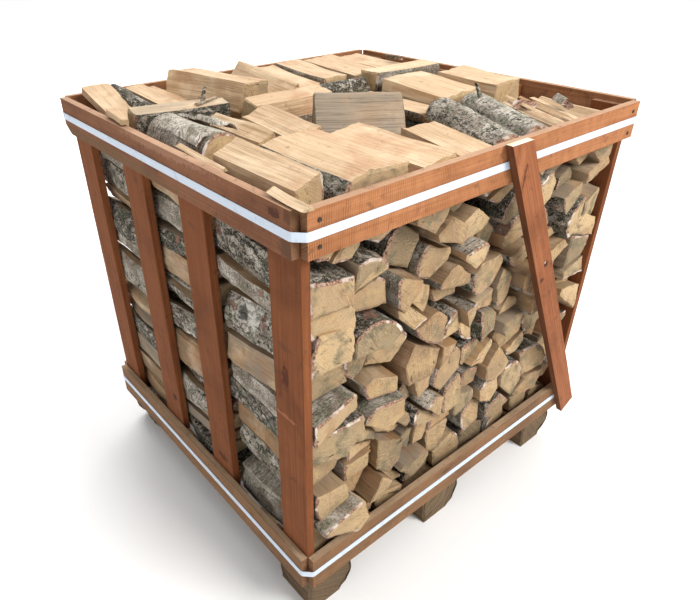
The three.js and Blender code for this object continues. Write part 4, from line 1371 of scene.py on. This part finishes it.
def make_twig(name, place, lean, radius, length):
    """The broken stub of a branch; lean is how far it tips and which way, in degrees."""
    bm = bmesh.new()
    bmesh.ops.create_cone(bm, cap_ends=True, segments=12, radius1=radius, radius2=radius * 0.6,
                          depth=length)
    for i in range(1, 6):
        slice_at(bm, (0, 0, length * (i / 6 - 0.5)), (0, 0, 1))
    for v in bm.verts:
        n = noise.noise(v.co * 90 + Vector(place) * 11)
        v.co.x += 0.25 * radius * n + 4.0 * v.co.z * v.co.z
        v.co.y += 0.2 * radius * n
        if v.co.z > length / 2 - 0.001:
            v.co.z += 0.004 * noise.noise(v.co * 300)
    tint(bm, (0.4, 0.8, 0.3, 1.0))
    move = Matrix.Translation(place) @ Matrix.Rotation(math.radians(lean[1]), 4, "Z") \
        @ Matrix.Rotation(math.radians(lean[0]), 4, "X")
    bmesh.ops.transform(bm, matrix=move, verts=bm.verts)
    finish_piece(name, bm, (LOG_FINISHES[BARK],), "birch_log")


SCRAPS_A_SIDE = 26
LITTER_X, LITTER_SPREAD_Y, LITTER_HIGH = 0.489, 0.36, 0.045


def make_scrap(dice, side, n):
    """One strip or flake: a warped slip of bark or wood."""
    wide, long, thick = dice.uniform(10, 18) * MM, dice.uniform(60, 180) * MM, dice.uniform(3, 7) * MM
    scrap = bmesh.new()
    bmesh.ops.create_cube(scrap, size=1.0)
    bmesh.ops.scale(scrap, vec=(wide, long, thick), verts=scrap.verts)
    slice_at(scrap, (0, long * 0.15, 0), (0, 1, 0.2))
    slice_at(scrap, (0, -long * 0.2, 0), (0.3, 1, 0))
    for v in scrap.verts:
        v.co.x += 0.003 * noise.noise(v.co * 40 + Vector((n, side, 0)))
        v.co.z += 0.005 * noise.noise(v.co * 25 + Vector((n, side, 4)))
    grain, tone = layers(scrap)
    shade = (dice.random(), dice.random(), dice.random(), 1.0)
    for f in scrap.faces:
        f.material_index = dice.choice((BARK, SPLIT, INNER_BARK)) if abs(f.normal.z) > 0.6 else SPLIT
        for loop in f.loops:
            loop[grain].uv = (loop.vert.co.y, loop.vert.co.x)
            loop[tone] = shade
    return scrap


def make_litter():
    """Strips and flakes of bark and wood that have dropped into the gap behind the low boards."""
    bm = bmesh.new()
    layers(bm)
    dice = random.Random(5)
    floor_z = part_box("bearer_front")[1].z + 0.002
    for side in (-1, 1):
        for n in range(SCRAPS_A_SIDE):
            scrap = make_scrap(dice, side, n)
            x = side * (LITTER_X + dice.uniform(-1, 1) * 0.001)
            y = dice.uniform(-LITTER_SPREAD_Y, LITTER_SPREAD_Y)
            place = Matrix.Translation((x, y, floor_z + dice.uniform(0.0, LITTER_HIGH)))
            tip = Matrix.Rotation(dice.uniform(-0.08, 0.08), 4, "X")
            tilt = tip @ Matrix.Rotation(dice.uniform(-0.5, 0.5), 4, "Y")
            bmesh.ops.transform(scrap, matrix=place @ tilt, verts=scrap.verts)
            gather(bm, scrap)
    finish_piece("bark_litter", bm, LOG_FINISHES, "birch_log")


CURLS = (
    # name, place, turn, radius, length, arc; then tone: warmth, age and pattern; roll
    ("rolled_bark", (0.352, -0.372, 1.043), -35, 0.012, 0.055, 250, (0.5, 0.2, 0.6, 1.0)),
    ("thin_bark", (0.31, -0.30, 1.036), 40, 0.02, 0.05, 90, (0.2, 0.0, 0.2, 1.0)),
    ("rear_bark", (0.43, 0.25, 1.056), 10, 0.012, 0.05, 200, (0.4, 0.1, 0.8, 1.0)),
    ("peeled_edge", (-0.37, -0.02, 1.034), 6, 0.03, 0.1, 105, (0.1, 0.0, 0.1, 1.0), 130),
    ("torn_bark", (-0.423, -0.055, 1.02), -4, 0.044, 0.09, 95, (0.0, 0.1, 0.45, 1.0), 150),
    ("bark_flap", (-0.38, 0.055, 1.03), 14, 0.026, 0.07, 120, (0.2, 0.3, 0.8, 1.0), 120),
)
make_nails()
for curl in CURLS:
    make_curl(*curl)
make_twig("twig_stub", (-0.30, 0.145, 1.062), (14, 30), 0.0065, 0.05)
make_twig("spike_stub", (0.235, -0.215, 1.062), (25, 200), 0.006, 0.03)
make_litter()


# ------------------------------------------------------------------ setting
FLOOR_HALF = 20
SOFTBOXES = (
    # name, place, where it points, size, power, colour
    ("key_light", (0.9, -3.3, 3.5), (0, 0, 0.6), 1.8, 182, (1.0, 0.98, 0.95)),
    ("fill_light", (-3.6, -1.6, 2.0), (0, 0, 0.5), 3.0, 25, (1, 1, 1)),
    ("top_light", (-0.3, 0.4, 4.2), (0, 0, 0.9), 2.2, 24, (1, 1, 1)),
    ("floor_light", (2.6, 5.6, 4.2), (2.2, 5.2, 0), 5.0, 420, (1, 1, 1)),
    ("far_floor_light", (1.5, 10.5, 5.0), (1.5, 10.5, 0), 6.0, 480, (1, 1, 1)),
    ("side_floor_light", (9.5, 4.8, 5.0), (9.5, 4.8, 0), 6.0, 480, (1, 1, 1)),
)
SKY_STRENGTH = 0.5
CAMERA_AT = Vector((-1.011, -1.124, 1.389))
CAMERA_YAW, CAMERA_DOWN, CAMERA_ROLL = math.radians(50.67), math.radians(33.07), math.radians(-0.51)
SENSOR, LENS = 36.0, 31.0783               # millimetres
LENS_SHIFT = (0.048, 0.028)
FARTHEST_SEEN = 60


def make_floor():
    """The pale ground that the crate stands on."""
    bm = bmesh.new()
    bmesh.ops.create_grid(bm, x_segments=1, y_segments=1, size=FLOOR_HALF)
    mesh = bpy.data.meshes.new("floor")
    bm.to_mesh(mesh)
    bm.free()
    material, _, shader = new_material("pale_floor", 0.9, 0.1)
    shader["Base Color"].default_value = (0.93, 0.93, 0.93, 1.0)
    mesh.materials.append(material)
    floor = bpy.data.objects.new("floor", mesh)
    bpy.context.scene.collection.objects.link(floor)
    floor.location.z = -0.0005


def make_softbox(name, place, aim, size, power, colour):
    """A square lamp, turned to the place that it lights."""
    data = bpy.data.lights.new(name, "AREA")
    data.shape = "SQUARE"
    data.size = size
    data.energy = power
    data.color = colour
    lamp = bpy.data.objects.new(name, data)
    lamp.location = place
    lamp.rotation_euler = (Vector(aim) - Vector(place)).to_track_quat("-Z", "Y").to_euler()
    bpy.context.scene.collection.objects.link(lamp)


def make_sky():
    """Even light from all round, and colours shown as they are."""
    world = bpy.data.worlds.new("studio")
    bpy.context.scene.world = world
    world.use_nodes = True
    sky = world.node_tree.nodes["Background"].inputs
    sky[0].default_value = (1.0, 1.0, 1.0, 1.0)
    sky[1].default_value = SKY_STRENGTH
    bpy.context.scene.view_settings.view_transform = "Standard"


def make_camera():
    """Looks down on the corner between the open front and the left wall."""
    data = bpy.data.cameras.new("camera")
    data.sensor_width = SENSOR
    data.lens = LENS
    data.shift_x, data.shift_y = LENS_SHIFT
    data.clip_end = FARTHEST_SEEN
    camera = bpy.data.objects.new("camera", data)
    flat = Vector((math.cos(CAMERA_YAW), math.sin(CAMERA_YAW), 0))
    forward = flat * math.cos(CAMERA_DOWN) - AXES["Z"] * math.sin(CAMERA_DOWN)
    level = Vector((math.sin(CAMERA_YAW), -math.cos(CAMERA_YAW), 0))
    above = level.cross(forward)
    right = level * math.cos(CAMERA_ROLL) + above * math.sin(CAMERA_ROLL)
    up = above * math.cos(CAMERA_ROLL) - level * math.sin(CAMERA_ROLL)
    turn = Matrix((right, up, -forward)).transposed().to_4x4()
    camera.matrix_world = Matrix.Translation(CAMERA_AT) @ turn
    bpy.context.scene.collection.objects.link(camera)
    bpy.context.scene.camera = camera


make_floor()
for box in SOFTBOXES:
    make_softbox(*box)
make_sky()
make_camera()
